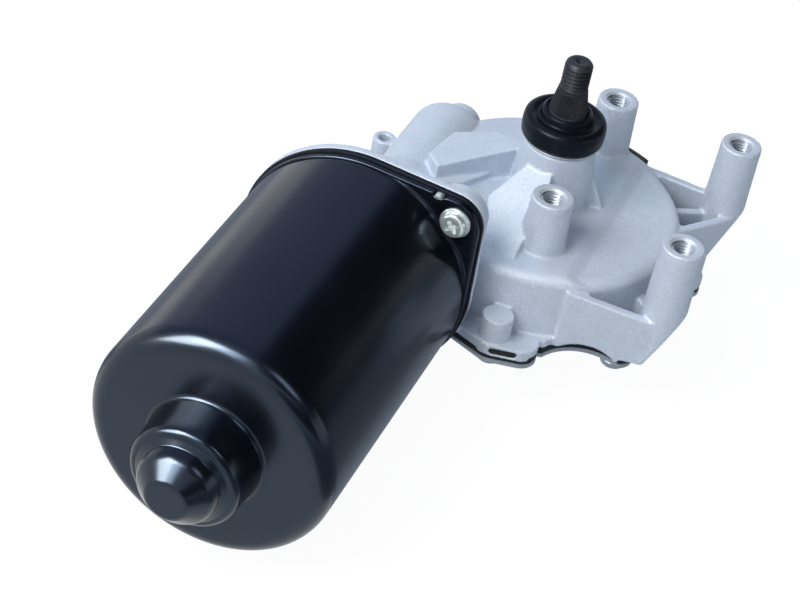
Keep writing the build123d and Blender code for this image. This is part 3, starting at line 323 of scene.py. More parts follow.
def grid_mesh(name: str, points: np.ndarray, wrap: bool = True, caps: bool = False) -> bpy.types.Object:
    """Skin rings of points into one object.

    Args:
        name: object name.
        points: array of rings, points and coordinates in millimetres.
        wrap: whether each ring closes on itself.
        caps: whether the first and last ring are closed by a face.

    Returns:
        The new object, smooth shaded.
    """
    rings, count = points.shape[:2]
    verts = [tuple(p) for p in (points.reshape(-1, 3) * MM)]
    faces: list[tuple[int, ...]] = []
    span = count if wrap else count - 1
    for ring in range(rings - 1):
        for index in range(span):
            ahead = (index + 1) % count
            a, b = ring * count + index, ring * count + ahead
            faces.append((a, b, b + count, a + count))
    if caps:
        faces.append(tuple(reversed(range(count))))
        faces.append(tuple(range((rings - 1) * count, rings * count)))
    mesh = bpy.data.meshes.new(name)
    mesh.from_pydata(verts, [], faces)
    made = bpy.data.objects.new(name, mesh)
    bpy.context.scene.collection.objects.link(made)
    tidy_mesh(made)
    return made


def tidy_mesh(piece: bpy.types.Object, sharp: float = 32.0, weld: float = 1e-6) -> None:
    """Weld, face outward and smooth a piece, with its sharp edges kept.

    Args:
        piece: mesh object.
        sharp: edges that turn more than this many degrees stay sharp.
        weld: welding distance in metres.
    """
    shape = bmesh.new()
    shape.from_mesh(piece.data)
    bmesh.ops.remove_doubles(shape, verts=shape.verts, dist=weld)
    bmesh.ops.recalc_face_normals(shape, faces=shape.faces)
    shape.to_mesh(piece.data)
    shape.free()
    piece.data.polygons.foreach_set("use_smooth", [True] * len(piece.data.polygons))
    piece.data.set_sharp_from_angle(angle=math.radians(sharp))


def join(name: str, parts: Sequence[bpy.types.Object]) -> bpy.types.Object:
    """Join pieces into one object.

    Args:
        name: name of the joined piece.
        parts: at least one mesh object.

    Returns:
        The joined object.
    """
    select_only(parts)
    if len(parts) > 1:
        bpy.ops.object.join()
    whole = bpy.context.view_layer.objects.active
    whole.name = name
    whole.data.name = name
    return whole


def bake(piece: bpy.types.Object) -> None:
    """Apply all modifiers of a piece."""
    select_only([piece])
    for modifier in list(piece.modifiers):
        bpy.ops.object.modifier_apply(modifier=modifier.name)


def copied(node: str, name: str) -> bpy.types.Object:
    """Copy a frame node's mesh into a new, welded object.

    Args:
        node: name of the frame node.
        name: name of the new piece.

    Returns:
        The new object.
    """
    source = FRAME["nodes"][node]
    piece = bpy.data.objects.new(name, source.data.copy())
    bpy.context.scene.collection.objects.link(piece)
    piece.data.materials.clear()
    tidy_mesh(piece, weld=1e-5)
    return piece


def softened(node: str, name: str, bevel: float, sharp: float = 40.0) -> bpy.types.Object:
    """Copy a frame node with broken edges.

    Args:
        node: name of the frame node.
        name: name of the new piece.
        bevel: edge break in millimetres.
        sharp: edges that turn more than this many degrees are broken.

    Returns:
        The new object.
    """
    piece = copied(node, name)
    edge = piece.modifiers.new("edge", "BEVEL")
    edge.width = bevel * MM
    edge.segments = 2
    edge.limit_method = "ANGLE"
    edge.angle_limit = math.radians(sharp)
    edge.harden_normals = False
    edge.use_clamp_overlap = True
    bake(piece)
    tidy_mesh(piece, 48.0, 1e-6)
    return piece


@dataclass
class Axis:
    """A turning axis with two directions square to it.

    Args:
        origin: a point on the axis in millimetres.
        along: direction of the axis; angle zero is +X.
    """

    origin: Vector
    along: Vector

    def point(self, radius: float, angle: float, height: float) -> Point3:
        """Place a point given by radius, angle in radians and height along the axis."""
        side = self.along.cross(PLAIN_X)
        spot = self.origin + self.along * height + (
            PLAIN_X * math.cos(angle) + side * math.sin(angle)) * radius
        return (spot.x, spot.y, spot.z)

    def lathe(self, name: str, profile: Sequence[Point2], segments: int = 96) -> bpy.types.Object:
        """Turn a profile about the axis.

        Args:
            name: object name.
            profile: (radius, height) points.
            segments: parts of the full turn.

        Returns:
            The turned object.
        """
        turns = circle(segments)
        rings = np.array([[self.point(max(r, 1e-4), t, h) for t in turns] for r, h in profile])
        return grid_mesh(name, rings)

    def field(self, name: str, heights: Sequence[float], count: int,
              radius: Callable[[float, float], float]) -> bpy.types.Object:
        """Skin a surface whose radius varies with height and angle.

        Args:
            name: object name.
            heights: heights of the rings.
            count: points in each ring.
            radius: gives the radius at a height and an angle in radians.

        Returns:
            The surface as an object, open at both ends.
        """
        turns = circle(count)
        rings = np.array([[self.point(radius(h, t), t, h) for t in turns] for h in heights])
        return grid_mesh(name, rings)


UP = Axis(Vector((0, 0, 0)), UPWARD)


def dress(piece: bpy.types.Object, finish: Finish, body: str, slot: str, *nodes: str) -> bpy.types.Object:
    """Give a piece its finish, its body and the nodes that it stands for.

    Args:
        piece: mesh object.
        finish: finish of a piece that has no material yet.
        body: frame body that it rides on.
        slot: material slot of the record; not used.
        nodes: frame nodes that it replaces.

    Returns:
        The same piece.
    """
    if not piece.data.materials:
        piece.data.materials.append(finish.material())
    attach(piece, body)
    if nodes:
        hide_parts(*nodes)
    LOG.info("%s: %d faces on %s", piece.name, len(piece.data.polygons), body)
    return piece


# ---------------------------------------------------------------------------- screws
@dataclass
class ScrewHead:
    """Round screw head with a cross recess and a slot.

    Args:
        radius: head radius.
        height: head height.
        shank: shank radius.
        length: shank length under the head.
        cross: half length of the cross recess.
        slot: half length of the slot.
        crown: rise of the head's middle.
        washer: radius of the captive washer, 0 for none.
        washer_height: thickness of the washer.
    """

    radius: float
    height: float
    shank: float
    length: float
    cross: float = 2.9
    slot: float = 4.3
    crown: float = 0.5
    washer: float = 0.0
    washer_height: float = 0.9

    def recess(self, x: float, y: float) -> float:
        """Depth of the recess at a place on the head."""
        depth = 0.0
        for u, v in ((x, y), (y, x)):
            taper = 0.95 - 0.14 * abs(u)
            inside = smoothstep((taper - abs(v)) / 0.22) * smoothstep((self.cross - abs(u)) / 0.5)
            depth = max(depth, inside * (2.1 - 0.30 * abs(u)))
        groove = smoothstep((0.62 - abs(y)) / 0.16) * smoothstep((self.slot - abs(x)) / 0.25)
        return max(depth, groove * 1.05)

    def build(self, name: str, axis: Axis, turn: float) -> bpy.types.Object:
        """Build the screw with its seat face at the axis origin, head along the axis.

        Args:
            name: object name.
            axis: screw axis.
            turn: turn of the recess in degrees.

        Returns:
            The screw as one object.
        """
        foot: list[tuple[float, ...]] = [(self.radius, 0, 0.25)]
        if self.washer:
            rim = self.washer_height
            foot = [(self.washer, 0, 0.2), (self.washer, rim, 0.35), (self.radius + 0.35, rim, 0.1),
                    (self.radius, rim - 0.15, 0.1)]
        rim_radius = self.radius - 1.5
        side = rounded([
            (0.01, -self.length), (self.shank - 0.4, -self.length), (self.shank, -self.length + 0.6),
            (self.shank, 0), *foot, (self.radius, self.height - 0.2, 0.9),
            (self.radius - 1.3, self.height + 0.05), (rim_radius, self.height + 0.08)], 5)
        body = axis.lathe(name + "_side", side, 72)
        spin = math.radians(turn)
        steps = 44

        def level(radius: float, angle: float) -> float:
            """Height of the head's face with its recess."""
            x, y = radius * math.cos(angle - spin), radius * math.sin(angle - spin)
            dome = self.crown * (1 - (radius / rim_radius) ** 2)
            depth = self.recess(x, y) * smoothstep((rim_radius - radius) / 0.15)
            return self.height + 0.08 + dome - depth

        radii = [rim_radius * step / steps for step in range(steps + 1)]
        face = [[axis.point(max(r, 0.002), t, level(r, t)) for t in circle(144)] for r in radii]
        whole = join(name, [body, grid_mesh(name + "_top", np.array(face))])
        tidy_mesh(whole, 50.0, 5e-6)
        return whole


# ---------------------------------------------------------------------------- barrel
@dataclass
class MotorBarrel:
    """Drawn steel barrel with its flange, the brush card edge and the flange screws.

    Args:
        axis_x: X of the armature axis.
        axis_z: Z of the armature axis.
        flange_y: outer face of the flange.
        flange_thickness: thickness of the flange.
        flange_radius: radius of the flange away from the ears.
        ear: place of the ear's rounding centre from the axis, X and Z.
        ear_radius: rounding of the ear.
        screw: place of the screw from the axis, X and Z.
        radius: barrel radius.
        end_y: plane of the barrel's closed end.
        corner: rounding of the barrel's end.
        cup_radius: radius of the bearing cup.
        cup_y: end plane of the cup.
        dome_radius: radius of the dome.
        dome_y: end plane of the dome.
        wall: sheet thickness.
        notch_angle: direction of the staking notch in degrees, from +X to +Z.
        notch_depth: depth of that notch.
        notch_half: half width of that notch in degrees.
        tab: place of the staked tab from the axis, X and Z.
        hollow: depth of the hollow beside each screw.
        hollow_length: distance over which that hollow fades out.
        hollow_width: half width of that hollow in degrees.
        bend: rounding between the flange and the barrel.
        segments: steps round the barrel.
    """

    axis_x: float = -47.5
    axis_z: float = -57.0
    flange_y: float = -65.2
    flange_thickness: float = 2.5
    flange_radius: float = 42.6
    ear: Point2 = (31.3, 30.4)
    ear_radius: float = 10.7
    screw: Point2 = (33.5, 33.4)
    radius: float = 42.0
    end_y: float = -175.7
    corner: float = 6.5
    cup_radius: float = 18.4
    cup_y: float = -191.2
    dome_radius: float = 13.8
    dome_y: float = -202.2
    wall: float = 2.2
    notch_angle: float = 57.6
    notch_depth: float = 1.7
    notch_half: float = 2.5
    tab: Point2 = (25.9, 40.9)
    hollow: float = 1.5
    hollow_length: float = 12.0
    hollow_width: float = 8.5
    bend: float = 1.5
    segments: int = 480
    axis: Axis = field(init=False)

    def __post_init__(self) -> None:
        """Set the armature axis; heights along it are Y."""
        self.axis = Axis(Vector((self.axis_x, 0, self.axis_z)), ALONG_MOTOR)

    def flange_reach(self, angle: float) -> float:
        """Distance from the axis to the flange edge.

        Args:
            angle: direction in radians, turning from +X to +Z.

        Returns:
            The distance, without the notch.
        """
        way = Vector((math.cos(angle), math.sin(angle)))
        reach = self.flange_radius
        for sign in (1, -1):
            centre = Vector(self.ear) * sign
            ahead, off = way.dot(centre), way.x * centre.y - way.y * centre.x
            if ahead > 0 and abs(off) < self.ear_radius:
                reach = max(reach, ahead + math.sqrt(self.ear_radius ** 2 - off ** 2))
            lean = math.acos((self.flange_radius - self.ear_radius) / centre.length)
            base = math.atan2(centre.y, centre.x)
            for side in (1, -1):
                normal = Vector((math.cos(base + side * lean), math.sin(base + side * lean)))
                facing = way.dot(normal)
                if facing <= 0.05:
                    continue
                distance = self.flange_radius / facing
                start, end = normal * self.flange_radius, centre + normal * self.ear_radius
                share = (way * distance - start).dot(end - start) / (end - start).length_squared
                if 0 <= share <= 1:
                    reach = max(reach, distance)
        return reach

    def dip(self, angle: float) -> float:
        """Share of the hollow beside a screw in a direction."""
        share = 0.0
        for sign in (1, -1):
            base = math.atan2(self.screw[1] * sign, self.screw[0] * sign)
            off = abs((angle - base + math.pi) % math.tau - math.pi)
            share = max(share, math.exp(-((off / math.radians(self.hollow_width)) ** 2)))
        return share

    def notch(self, angle: float) -> float:
        """Depth of the staking notch in the flange edge in a direction."""
        off = abs(math.degrees(angle) % 360 - self.notch_angle)
        return self.notch_depth * smoothstep((self.notch_half - off) / 1.1)

    def rim(self, angle: float, inset: float) -> float:
        """Radius of the notched flange edge in a direction, drawn in by an inset."""
        return self.flange_reach(angle) - inset - self.notch(angle)

    def throat(self, angle: float, share: float = 1.0) -> float:
        """Radius of the barrel at the flange in a direction, with a share of the hollow."""
        return self.radius - self.hollow * self.dip(angle) * share

    def shell(self) -> bpy.types.Object:
        """Skin the flange, barrel, cup and dome as one sheet."""
        front, back, bend = self.flange_y, self.flange_y + self.flange_thickness, self.bend
        turns = [-turn for turn in circle(self.segments)]
        rings: list[list[Point3]] = []

        def ring(y: float, radius_at: Callable[[float], float]) -> None:
            """Add one ring whose radius follows the direction."""
            rings.append([self.axis.point(radius_at(-turn), turn, y) for turn in turns])

        ring(back, lambda a: self.radius - self.wall - 1)
        lip = rounded([(0.0, back), (1.0, back, 0.25), (1.0, front, 0.45), (0.0, front)], 4)
        for reach, y in lip[1:-1]:
            ring(y, lambda a, r=reach: self.rim(a, 1.0 - r))
        for share in (0.35, 0.7, 1.0):
            ring(front, lambda a, s=share: lerp(
                self.rim(a, 1.0), min(self.throat(a) + bend, self.flange_reach(a) - 1.1), s))
        for step in range(1, 9):
            part = math.pi / 2 * step / 8
            ring(front - bend * (1 - math.cos(part)), lambda a, p=part: self.throat(a) + bend * (
                1 - math.sin(p)) * min(1.0, (self.flange_reach(a) - 1.1 - self.throat(a)) / bend))
        for step in range(1, 25):
            along = self.hollow_length * step / 24
            fade = 1 - smoothstep((along - 2.0) / (self.hollow_length - 2.0))
            ring(front - bend - along, lambda a, f=fade: self.throat(a, f))
        profile = rounded([
            (self.radius, front - bend - self.hollow_length), (self.radius, self.end_y, self.corner),
            (self.cup_radius + 1.2, self.end_y, 1.8), (self.cup_radius, self.cup_y, 2.4),
            (self.dome_radius + 2.2, self.cup_y, 1.6), (self.dome_radius, self.cup_y - 1.4, 0.8),
            (self.dome_radius - 0.8, self.cup_y - 5.4, 5.5), (7.0, self.dome_y, 2.6),
            (0.02, self.dome_y)], 12)
        fine: list[Point2] = []
        for (r0, y0), (r1, y1) in zip(profile, profile[1:]):
            parts = max(1, int(math.hypot(r1 - r0, y1 - y0) / 4.0))
            fine += [(lerp(r0, r1, k / parts), lerp(y0, y1, k / parts)) for k in range(parts)]
        fine.append(profile[-1])
        for radius, y in fine[1:]:
            ring(y, lambda a, r=radius: r)
        piece = grid_mesh("barrel_shell", np.array(rings))
        tidy_mesh(piece, 60.0, 2e-6)
        return piece

    def notch_tab(self) -> bpy.types.Object:
        """Small bare staked tab in the flange's top edge."""
        x, z = self.axis_x + self.tab[0], self.axis_z + self.tab[1]
        length = np.array([0, 0.2, 0.5, 0.9, 1.3, 1.7, 2.1, 2.4]) / 2.4
        rings = []
        for share in length:
            y = self.flange_y - 0.35 + 3.4 * share
            height = 0.75 * math.sin(math.pi * min(share * 0.85 + 0.12, 1.0)) + 0.15
            rings.append([(x + 1.5 * math.cos(t), y, z - 0.5 + 1.25 * height * math.sin(t))
                          for t in np.linspace(0, math.tau, 24, endpoint=False)])
        return grid_mesh("flange_tab", np.array(rings), caps=True)

    def screws(self) -> bpy.types.Object:
        """Two flange screws."""
        head = ScrewHead(4.5, 3.3, 2.5, 10.7, cross=2.5, slot=2.9, crown=0.1, washer=5.5)
        made = []
        for index, sign in enumerate((1, -1)):
            x, z = self.axis_x + self.screw[0] * sign, self.axis_z + self.screw[1] * sign
            axis = Axis(Vector((x, self.flange_y, z)), -ALONG_MOTOR)
            made.append(head.build(f"screw_{index}", axis, 38.0 + 70 * index))
        return join("flange_screws", made)

    def build(self) -> None:
        """Build and dress the barrel's pieces."""
        dress(self.shell(), BARREL_PAINT, "housing", "black_paint", "motor_yoke")
        dress(softened("brush_card", "card_edge", 0.35), CARD_BLACK, "housing", "black_card", "brush_card")
        dress(self.screws(), BRIGHT_ZINC, "housing", "bright_screw", "yoke_screws")
        dress(self.notch_tab(), BRIGHT_ZINC, "housing", "bright_screw")


# ---------------------------------------------------------------------------- casting
@dataclass
class GearCasting:
    """Blasted casting with machined post ends.

    Args:
        posts: centres of the four posts.
        face_z: plane of the post ends.
        post_radius: radius of a post at its end.
        foot_radius: radius of a post at its foot.
        foot_z: heights of the feet, in the order of the posts.
        hole_radius: radius inside the tapped hole's crests.
        thread_radius: radius at the bottom of the thread.
        pitch: thread pitch.
        tap_depth: depth of the tapped hole.
        voxel: cell size of the skin.
        rounds: smoothing rounds that form the casting's roundings.
        slot_centre: middle of the slot on the face of the front lobe, whose black block is painted shade.
        slot_half: its half length and half height.
        slot_lean: how far that face turns away from X, in degrees.
        trims: boxes that lift the foot: name, X span, Y span and top.
        trim_low: bottom of those boxes.
        arch_centre: start of the axis of the arch under the front arm.
        arch_radius: radius of that arch.
        arch_length: length of that arch along the motor.
        clear_radius: radius of the skin that the machined ends take out.
    """

    posts: tuple[Point2, ...] = ((8.5, -28.9), (8.5, 43.1), (56.5, -28.9), (56.5, 43.1))
    face_z: float = -25.5
    post_radius: float = 7.4
    foot_radius: float = 8.4
    foot_z: tuple[float, ...] = (-48.5, -48.5, -75.5, -75.5)
    hole_radius: float = 3.4
    thread_radius: float = 4.0
    pitch: float = 1.25
    tap_depth: float = 17.0
    voxel: float = 0.5
    quick_voxel: float = 0.9
    rounds: int = 6
    slot_centre: Point3 = (11.2, -60.15, -73.6)
    slot_half: Point2 = (5.0, 1.25)
    slot_lean: float = 16.2
    trims: tuple[tuple[str, Point2, Point2, float], ...] = (
        ("foot_cutter", (47.0, 70.0), (-47.0, -20.0), -74.2),
        ("seal_cutter", (-22.0, 1.6), (-75.0, -44.0), -74.6),
        ("rim_cutter", (19.5, 42.0), (-60.0, -34.0), -74.2))
    trim_low: float = -80.0
    arch_centre: Point3 = (35.5, -49.0, -85.5)
    arch_radius: float = 14.4
    arch_length: float = 11.6
    clear_radius: float = 5.6

    def skin(self) -> bpy.types.Object:
        """Casting surface with rounded edges and fillets."""
        piece = copied("gear_case", "casting_skin")
        cutters = (self._arch(), *(self._slab(*trim) for trim in self.trims),
                   self.slot("slot_cutter", self.slot_half, -0.9, 1.7))
        for cutter in cutters:
            cut = piece.modifiers.new("cut", "BOOLEAN")
            cut.operation = "DIFFERENCE"
            cut.solver = "EXACT"
            cut.object = cutter
        bake(piece)
        for cutter in cutters:
            bpy.data.objects.remove(cutter)
        remesh = piece.modifiers.new("cells", "REMESH")
        remesh.mode = "VOXEL"
        remesh.voxel_size = self.voxel * MM
        remesh.use_smooth_shade = True
        smooth = piece.modifiers.new("rounding", "SMOOTH")
        smooth.factor = 0.5
        smooth.iterations = self.rounds
        bake(piece)
        self._clear_holes(piece)
        piece.data.polygons.foreach_set("use_smooth", [True] * len(piece.data.polygons))
        return piece

    def _arch(self) -> bpy.types.Object:
        """Round cutter that lifts the foot of the front arm's wall."""
        axis = Axis(Vector(self.arch_centre), ALONG_MOTOR)
        radius, length = self.arch_radius, self.arch_length
        return axis.lathe("arch_cutter", [(0.01, 0.0), (radius, 0.0), (radius, length), (0.01, length)])

    def _slab(self, name: str, span_x: Point2, span_y: Point2, top: float) -> bpy.types.Object:
        """Box cutter that lifts the casting's foot to its top."""
        (x0, x1), (y0, y1) = span_x, span_y
        ring = ((x0, y0), (x1, y0), (x1, y1), (x0, y1))
        corners = np.array([[(x, y, z) for x, y in ring] for z in (self.trim_low, top)], float)
        return grid_mesh(name, corners, caps=True)

    def slot(self, name: str, half: Point2, front: float, back: float) -> bpy.types.Object:
        """Round-ended block across the face of the front lobe.

        Args:
            name: object name.
            half: half length and half height.
            front: start of the block, in from the face.
            back: end of the block, in from the face.

        Returns:
            The block.
        """
        lean = math.radians(self.slot_lean)
        along = Vector((math.cos(lean), math.sin(lean), 0))
        inward = Vector((-math.sin(lean), math.cos(lean), 0))
        length, height = half
        outline = []
        for step in range(32):
            turn = math.tau * (step + 0.5) / 32
            outline.append(((length - height) * math.copysign(1, math.cos(turn)) + height * math.cos(turn),
                            height * math.sin(turn)))
        centre = Vector(self.slot_centre)
        rings = [[tuple(centre + along * u + inward * depth + Vector((0, 0, v))) for u, v in outline]
                 for depth in (front, back)]
        return grid_mesh(name, np.array(rings), caps=True)

    def _clear_holes(self, piece: bpy.types.Object) -> None:
        """Take the skin out of the post ends, where the machined ends go."""
        shape = bmesh.new()
        shape.from_mesh(piece.data)
        gone = []
        low = (self.face_z - self.tap_depth - 1.5) * MM
        for vert in shape.verts:
            if vert.co.z < low:
                continue
            for x, y in self.posts:
                off = math.hypot(vert.co.x / MM - x, vert.co.y / MM - y)
                if off < self.clear_radius or (off < 7.0 and vert.co.z > (self.face_z - 1.6) * MM):
                    gone.append(vert)
                    break
        bmesh.ops.delete(shape, geom=gone, context="VERTS")
        shape.to_mesh(piece.data)
        shape.free()

    def post_end(self, index: int) -> bpy.types.Object:
        """Machined end of one post with its threaded hole.

        Args:
            index: which post.

        Returns:
            The end as one object with casting and machined faces.
        """
        x, y = self.posts[index]
        axis = Axis(Vector((x, y, 0)), UPWARD)
        top, post, bore = self.face_z, self.post_radius, self.thread_radius
        slope = (self.foot_radius - post) / (top - self.foot_z[index])
        low, start, step = 9.0, top - 0.85, 0.125
        outer = axis.lathe(f"post_wall_{index}", rounded([
            (post + slope * low - 0.35, top - low), (post + slope * 2.5 + 0.03, top - 2.5),
            (post + 0.03, top - 0.45, 0.3), (post - 0.42, top)], 4))
        face = axis.lathe(f"post_face_{index}", [
            (post - 0.42, top), (post - 1.2, top), (bore + 1.1, top), (bore + 0.95, top - 0.05),
            (bore + 0.15, start)])
        depth = bore - self.hole_radius
        heights = [start - step * count for count in range(int((self.tap_depth - 1.0) / step))]

        def radius(height: float, turn: float) -> float:
            """Thread form inside the hole."""
            phase = ((start - height) / self.pitch + turn / math.tau) % 1.0
            ridge = 1 - abs(2 * phase - 1)
            return bore + 0.12 - depth * min(max((ridge - 0.12) / 0.76, 0), 1)

        thread = axis.field(f"post_thread_{index}", heights, 72, radius)
        bottom = axis.lathe(f"post_bottom_{index}", [(bore, heights[-1]), (0.01, heights[-1] - 2.0)], 72)
        parts = [outer, face, thread, bottom]
        for part, finish in zip(parts, (CASTING, MACHINED, TAPPED, TAPPED)):
            part.data.materials.append(finish.material())
        return join(f"post_end_{index}", parts)

    def build(self) -> None:
        """Build and dress the casting."""
        dress(self.skin(), CASTING, "housing", "cast_aluminium", "gear_case")
        ends = [self.post_end(index) for index in range(4)]
        dress(join("post_ends", ends), MACHINED, "housing", "cast_aluminium")
        length, height = self.slot_half
        # Black block set into the slot, darker than its walls: painted shade of the gap.
        slot_shade = self.slot("slot_painted_shade", (length + 0.2, height + 0.2), 0.7, 2.4)
        dress(slot_shade, GASKET_BLACK, "housing", "black_gasket")


# ---------------------------------------------------------------------------- cover
@dataclass
class CaseCover:
    """Cover plate, its gasket and its screws.

    Args:
        lugs: screw centres.
        seat_z: face that the screw heads sit on.
        gasket_middle: height of the gasket's middle.
        gasket_swells_and_painted_shade: where the gasket is raised under the casting, partly real gasket
            and partly a black band that paints the shade under the wall: X span, Y span and rise.
        head: form of the screws.
    """

    lugs: tuple[Point2, ...] = (
        (5.5, -55.0), (44.5, -32.5), (53.5, 20.0), (-2.0, 57.5), (-41.0, 44.0), (-66.5, 8.0))
    seat_z: float = -78.3
    gasket_middle: float = -76.1
    gasket_swells_and_painted_shade: tuple[tuple[Point2, Point2, float], ...] = (
        ((-22.0, 1.4), (-75.0, -44.2), 0.9), ((19.7, 41.8), (-60.0, -34.2), 1.3))
    head: ScrewHead = field(default_factory=lambda: ScrewHead(
        4.6, 2.6, 2.0, 9.5, cross=2.3, slot=3.4, crown=0.35))

    def build(self) -> None:
        """Build and dress the cover's pieces."""
        gasket = softened("cover_gasket", "gasket_edge", 0.3)
        # The gasket is raised here so that its black edge is the real gasket and also paints the shade
        # under the casting's wall.
        for (x0, x1), (y0, y1), rise in self.gasket_swells_and_painted_shade:
            for vert in gasket.data.vertices:
                x, y, z = vert.co / MM
                if x0 < x < x1 and y0 < y < y1 and z > self.gasket_middle:
                    vert.co.z += rise * MM
        dress(gasket, GASKET_BLACK, "housing", "black_gasket", "cover_gasket")
        plate = softened("gear_cover", "cover_plate", 0.35, 25.0)
        dress(plate, ZINC, "housing", "zinc_plate", "gear_cover")
        made = []
        for index, (x, y) in enumerate(self.lugs):
            axis = Axis(Vector((x, y, self.seat_z)), -UPWARD)
            made.append(self.head.build(f"cover_screw_{index}", axis, 25.0 * index))
        dress(join("cover_screw_set", made), ZINC, "housing", "zinc_screw", "cover_screws")


# ---------------------------------------------------------------------------- output shaft
@dataclass
class OutputEnd:
    """Threaded shaft end, knurled cone, cap and washer.

    Args:
        thread_radius: outside of the thread.
        thread_length: length of the thread with its tip.
        pitch: thread pitch.
        cone_top: radius at the top of the cone.
        cone_foot: radius at its foot.
        cone_length: length of the cone.
        knurls: number of ridges round the cone.
        shaft_radius: radius in the bushes.
        shaft_end: lowest point of the shaft.
        thread_depth: depth of the thread.
        knurl_depth: depth of the knurl.
        cap_lift: play of the cap above its washer.
        tip_gap: how far the thread's tip lies below its full length.
    """

    thread_radius: float = 5.0
    thread_length: float = 11.2
    pitch: float = 1.5
    cone_top: float = 5.25
    cone_foot: float = 7.0
    cone_length: float = 9.5
    knurls: int = 48
    shaft_radius: float = 6.0
    shaft_end: float = -75.3
    thread_depth: float = 0.80
    knurl_depth: float = 0.36
    cap_lift: float = 0.7
    tip_gap: float = 0.16

    def shaft(self) -> bpy.types.Object:
        """Shaft with a real thread and knurl."""
        tip = self.thread_length - self.tip_gap
        start = 0.9

        def thread(height: float, turn: float) -> float:
            """Thread form, fading at both ends, with a rounded tip."""
            phase = (height / self.pitch - turn / math.tau) % 1.0
            groove = abs(2 * phase - 1)
            cut = self.thread_depth * min(max((groove - 0.10) / 0.78, 0), 1)
            cut *= smoothstep((height - start) / 1.0) * smoothstep((tip - 0.5 - height) / 0.9)
            shoulder = max(height - (tip - 1.5), 0.0) / 1.5
            return self.thread_radius - max(cut, 0.95 * shoulder ** 1.6)

        heights = [0.0, 0.3, 0.6] + list(np.arange(0.8, tip, 0.1)) + [tip]
        threaded = UP.field("shaft_thread", heights, 96, thread)
        end_radius = self.thread_radius - 0.95
        crown = UP.lathe("shaft_tip", rounded([
            (end_radius, tip), (end_radius - 0.5, tip + 0.12), (2.0, tip + 0.14), (1.2, tip - 0.35),
            (0.01, tip - 0.9)], 3))

        def knurl(height: float, turn: float) -> float:
            """Ridged cone, plain for a little at both ends."""
            share = -height / self.cone_length
            base = lerp(self.cone_top, self.cone_foot, share)
            ridge = abs(((turn * self.knurls / math.tau) % 1.0) * 2 - 1)
            fade = smoothstep((share - 0.04) / 0.10) * smoothstep((0.985 - share) / 0.03)
            return base - self.knurl_depth * (1 - ridge) ** 0.8 * fade

        cone_heights = [-self.cone_length * k / 30 for k in range(31)]
        cone = UP.field("shaft_cone", cone_heights, self.knurls * 8, knurl)
        neck = UP.lathe("shaft_neck", [(self.thread_radius, 0.0), (self.cone_top, -0.02)])
        lower = UP.lathe("shaft_lower", rounded([
            (self.cone_foot, -self.cone_length), (self.cone_foot, -self.cone_length - 0.4),
            (self.shaft_radius, -self.cone_length - 1.2), (self.shaft_radius, self.shaft_end + 0.5),
            (self.shaft_radius - 0.5, self.shaft_end), (0.01, self.shaft_end)], 3))
        whole = join("shaft_end", [threaded, crown, cone, neck, lower])
        tidy_mesh(whole, 40.0, 2e-6)
        return whole

    @staticmethod
    def span(node: str) -> Point3:
        """Base height, top height and radius of a round frame node, in millimetres."""
        low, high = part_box(node)
        return low.z / MM, high.z / MM, (high.x - low.x) / 2 / MM

    def cap(self) -> bpy.types.Object:
        """Turned dust cap with a collar about the shaft."""
        base, top, radius = self.span("dust_cap")
        base, top = base + self.cap_lift, top + self.cap_lift
        shelf = base + 8.2
        profile = rounded([
            (7.05, base + 3.2), (11.0, base + 3.2, 0.5), (11.0, base + 0.2), (radius - 0.9, base, 0.4),
            (radius - 0.15, base + 0.7, 0.4), (radius, base + 4.2, 3.0), (radius - 0.35, shelf - 0.6, 2.0),
            (12.4, shelf, 1.8), (10.4, shelf - 0.75, 1.2), (9.4, shelf - 0.5, 0.8), (9.0, top - 0.7, 0.7),
            (8.1, top, 0.45), (7.2, top - 0.5, 0.4), (7.05, base + 4.2)], 8)
        return UP.lathe("shaft_cap", profile, 144)

    def washer(self) -> bpy.types.Object:
        """Thin bright washer under the cap."""
        base, top, radius = self.span("tower_washer")
        return UP.lathe("cap_washer", rounded([
            (6.6, base), (radius, base, 0.3), (radius, top, 0.3), (6.6, top), (6.6, base)], 5), 144)

    def build(self) -> None:
        """Build and dress the shaft end."""
        dress(self.shaft(), PHOSPHATE, "output", "black_phosphate", "output_shaft")
        dress(self.cap(), CAP_BLACK, "output", "black_cap", "dust_cap")
        dress(self.washer(), WASHER, "output", "bright_washer", "tower_washer")


# ---------------------------------------------------------------------------- plug
@dataclass
class PlugSide:
    """Plug shell, blades, screws and the end-play screw.

    Args:
        pieces: frame node, piece name, edge break, finish and slot of each.
    """

    pieces: tuple[tuple[str, str, float, Finish, str], ...] = (
        ("plug_housing", "plug_shell", 0.4, PLUG_BLACK, "black_plug"),
        ("plug_pins", "plug_blades", 0.15, TIN, "tin_pin"),
        ("plug_screws", "plug_screw_heads", 0.3, ZINC, "zinc_screw"),
        ("endplay_screw", "endplay_head", 0.25, ZINC, "zinc_screw"))

    def build(self) -> None:
        """Dress the plug's pieces."""
        for node, name, bevel, finish, slot in self.pieces:
            dress(softened(node, name, bevel), finish, "housing", slot, node)


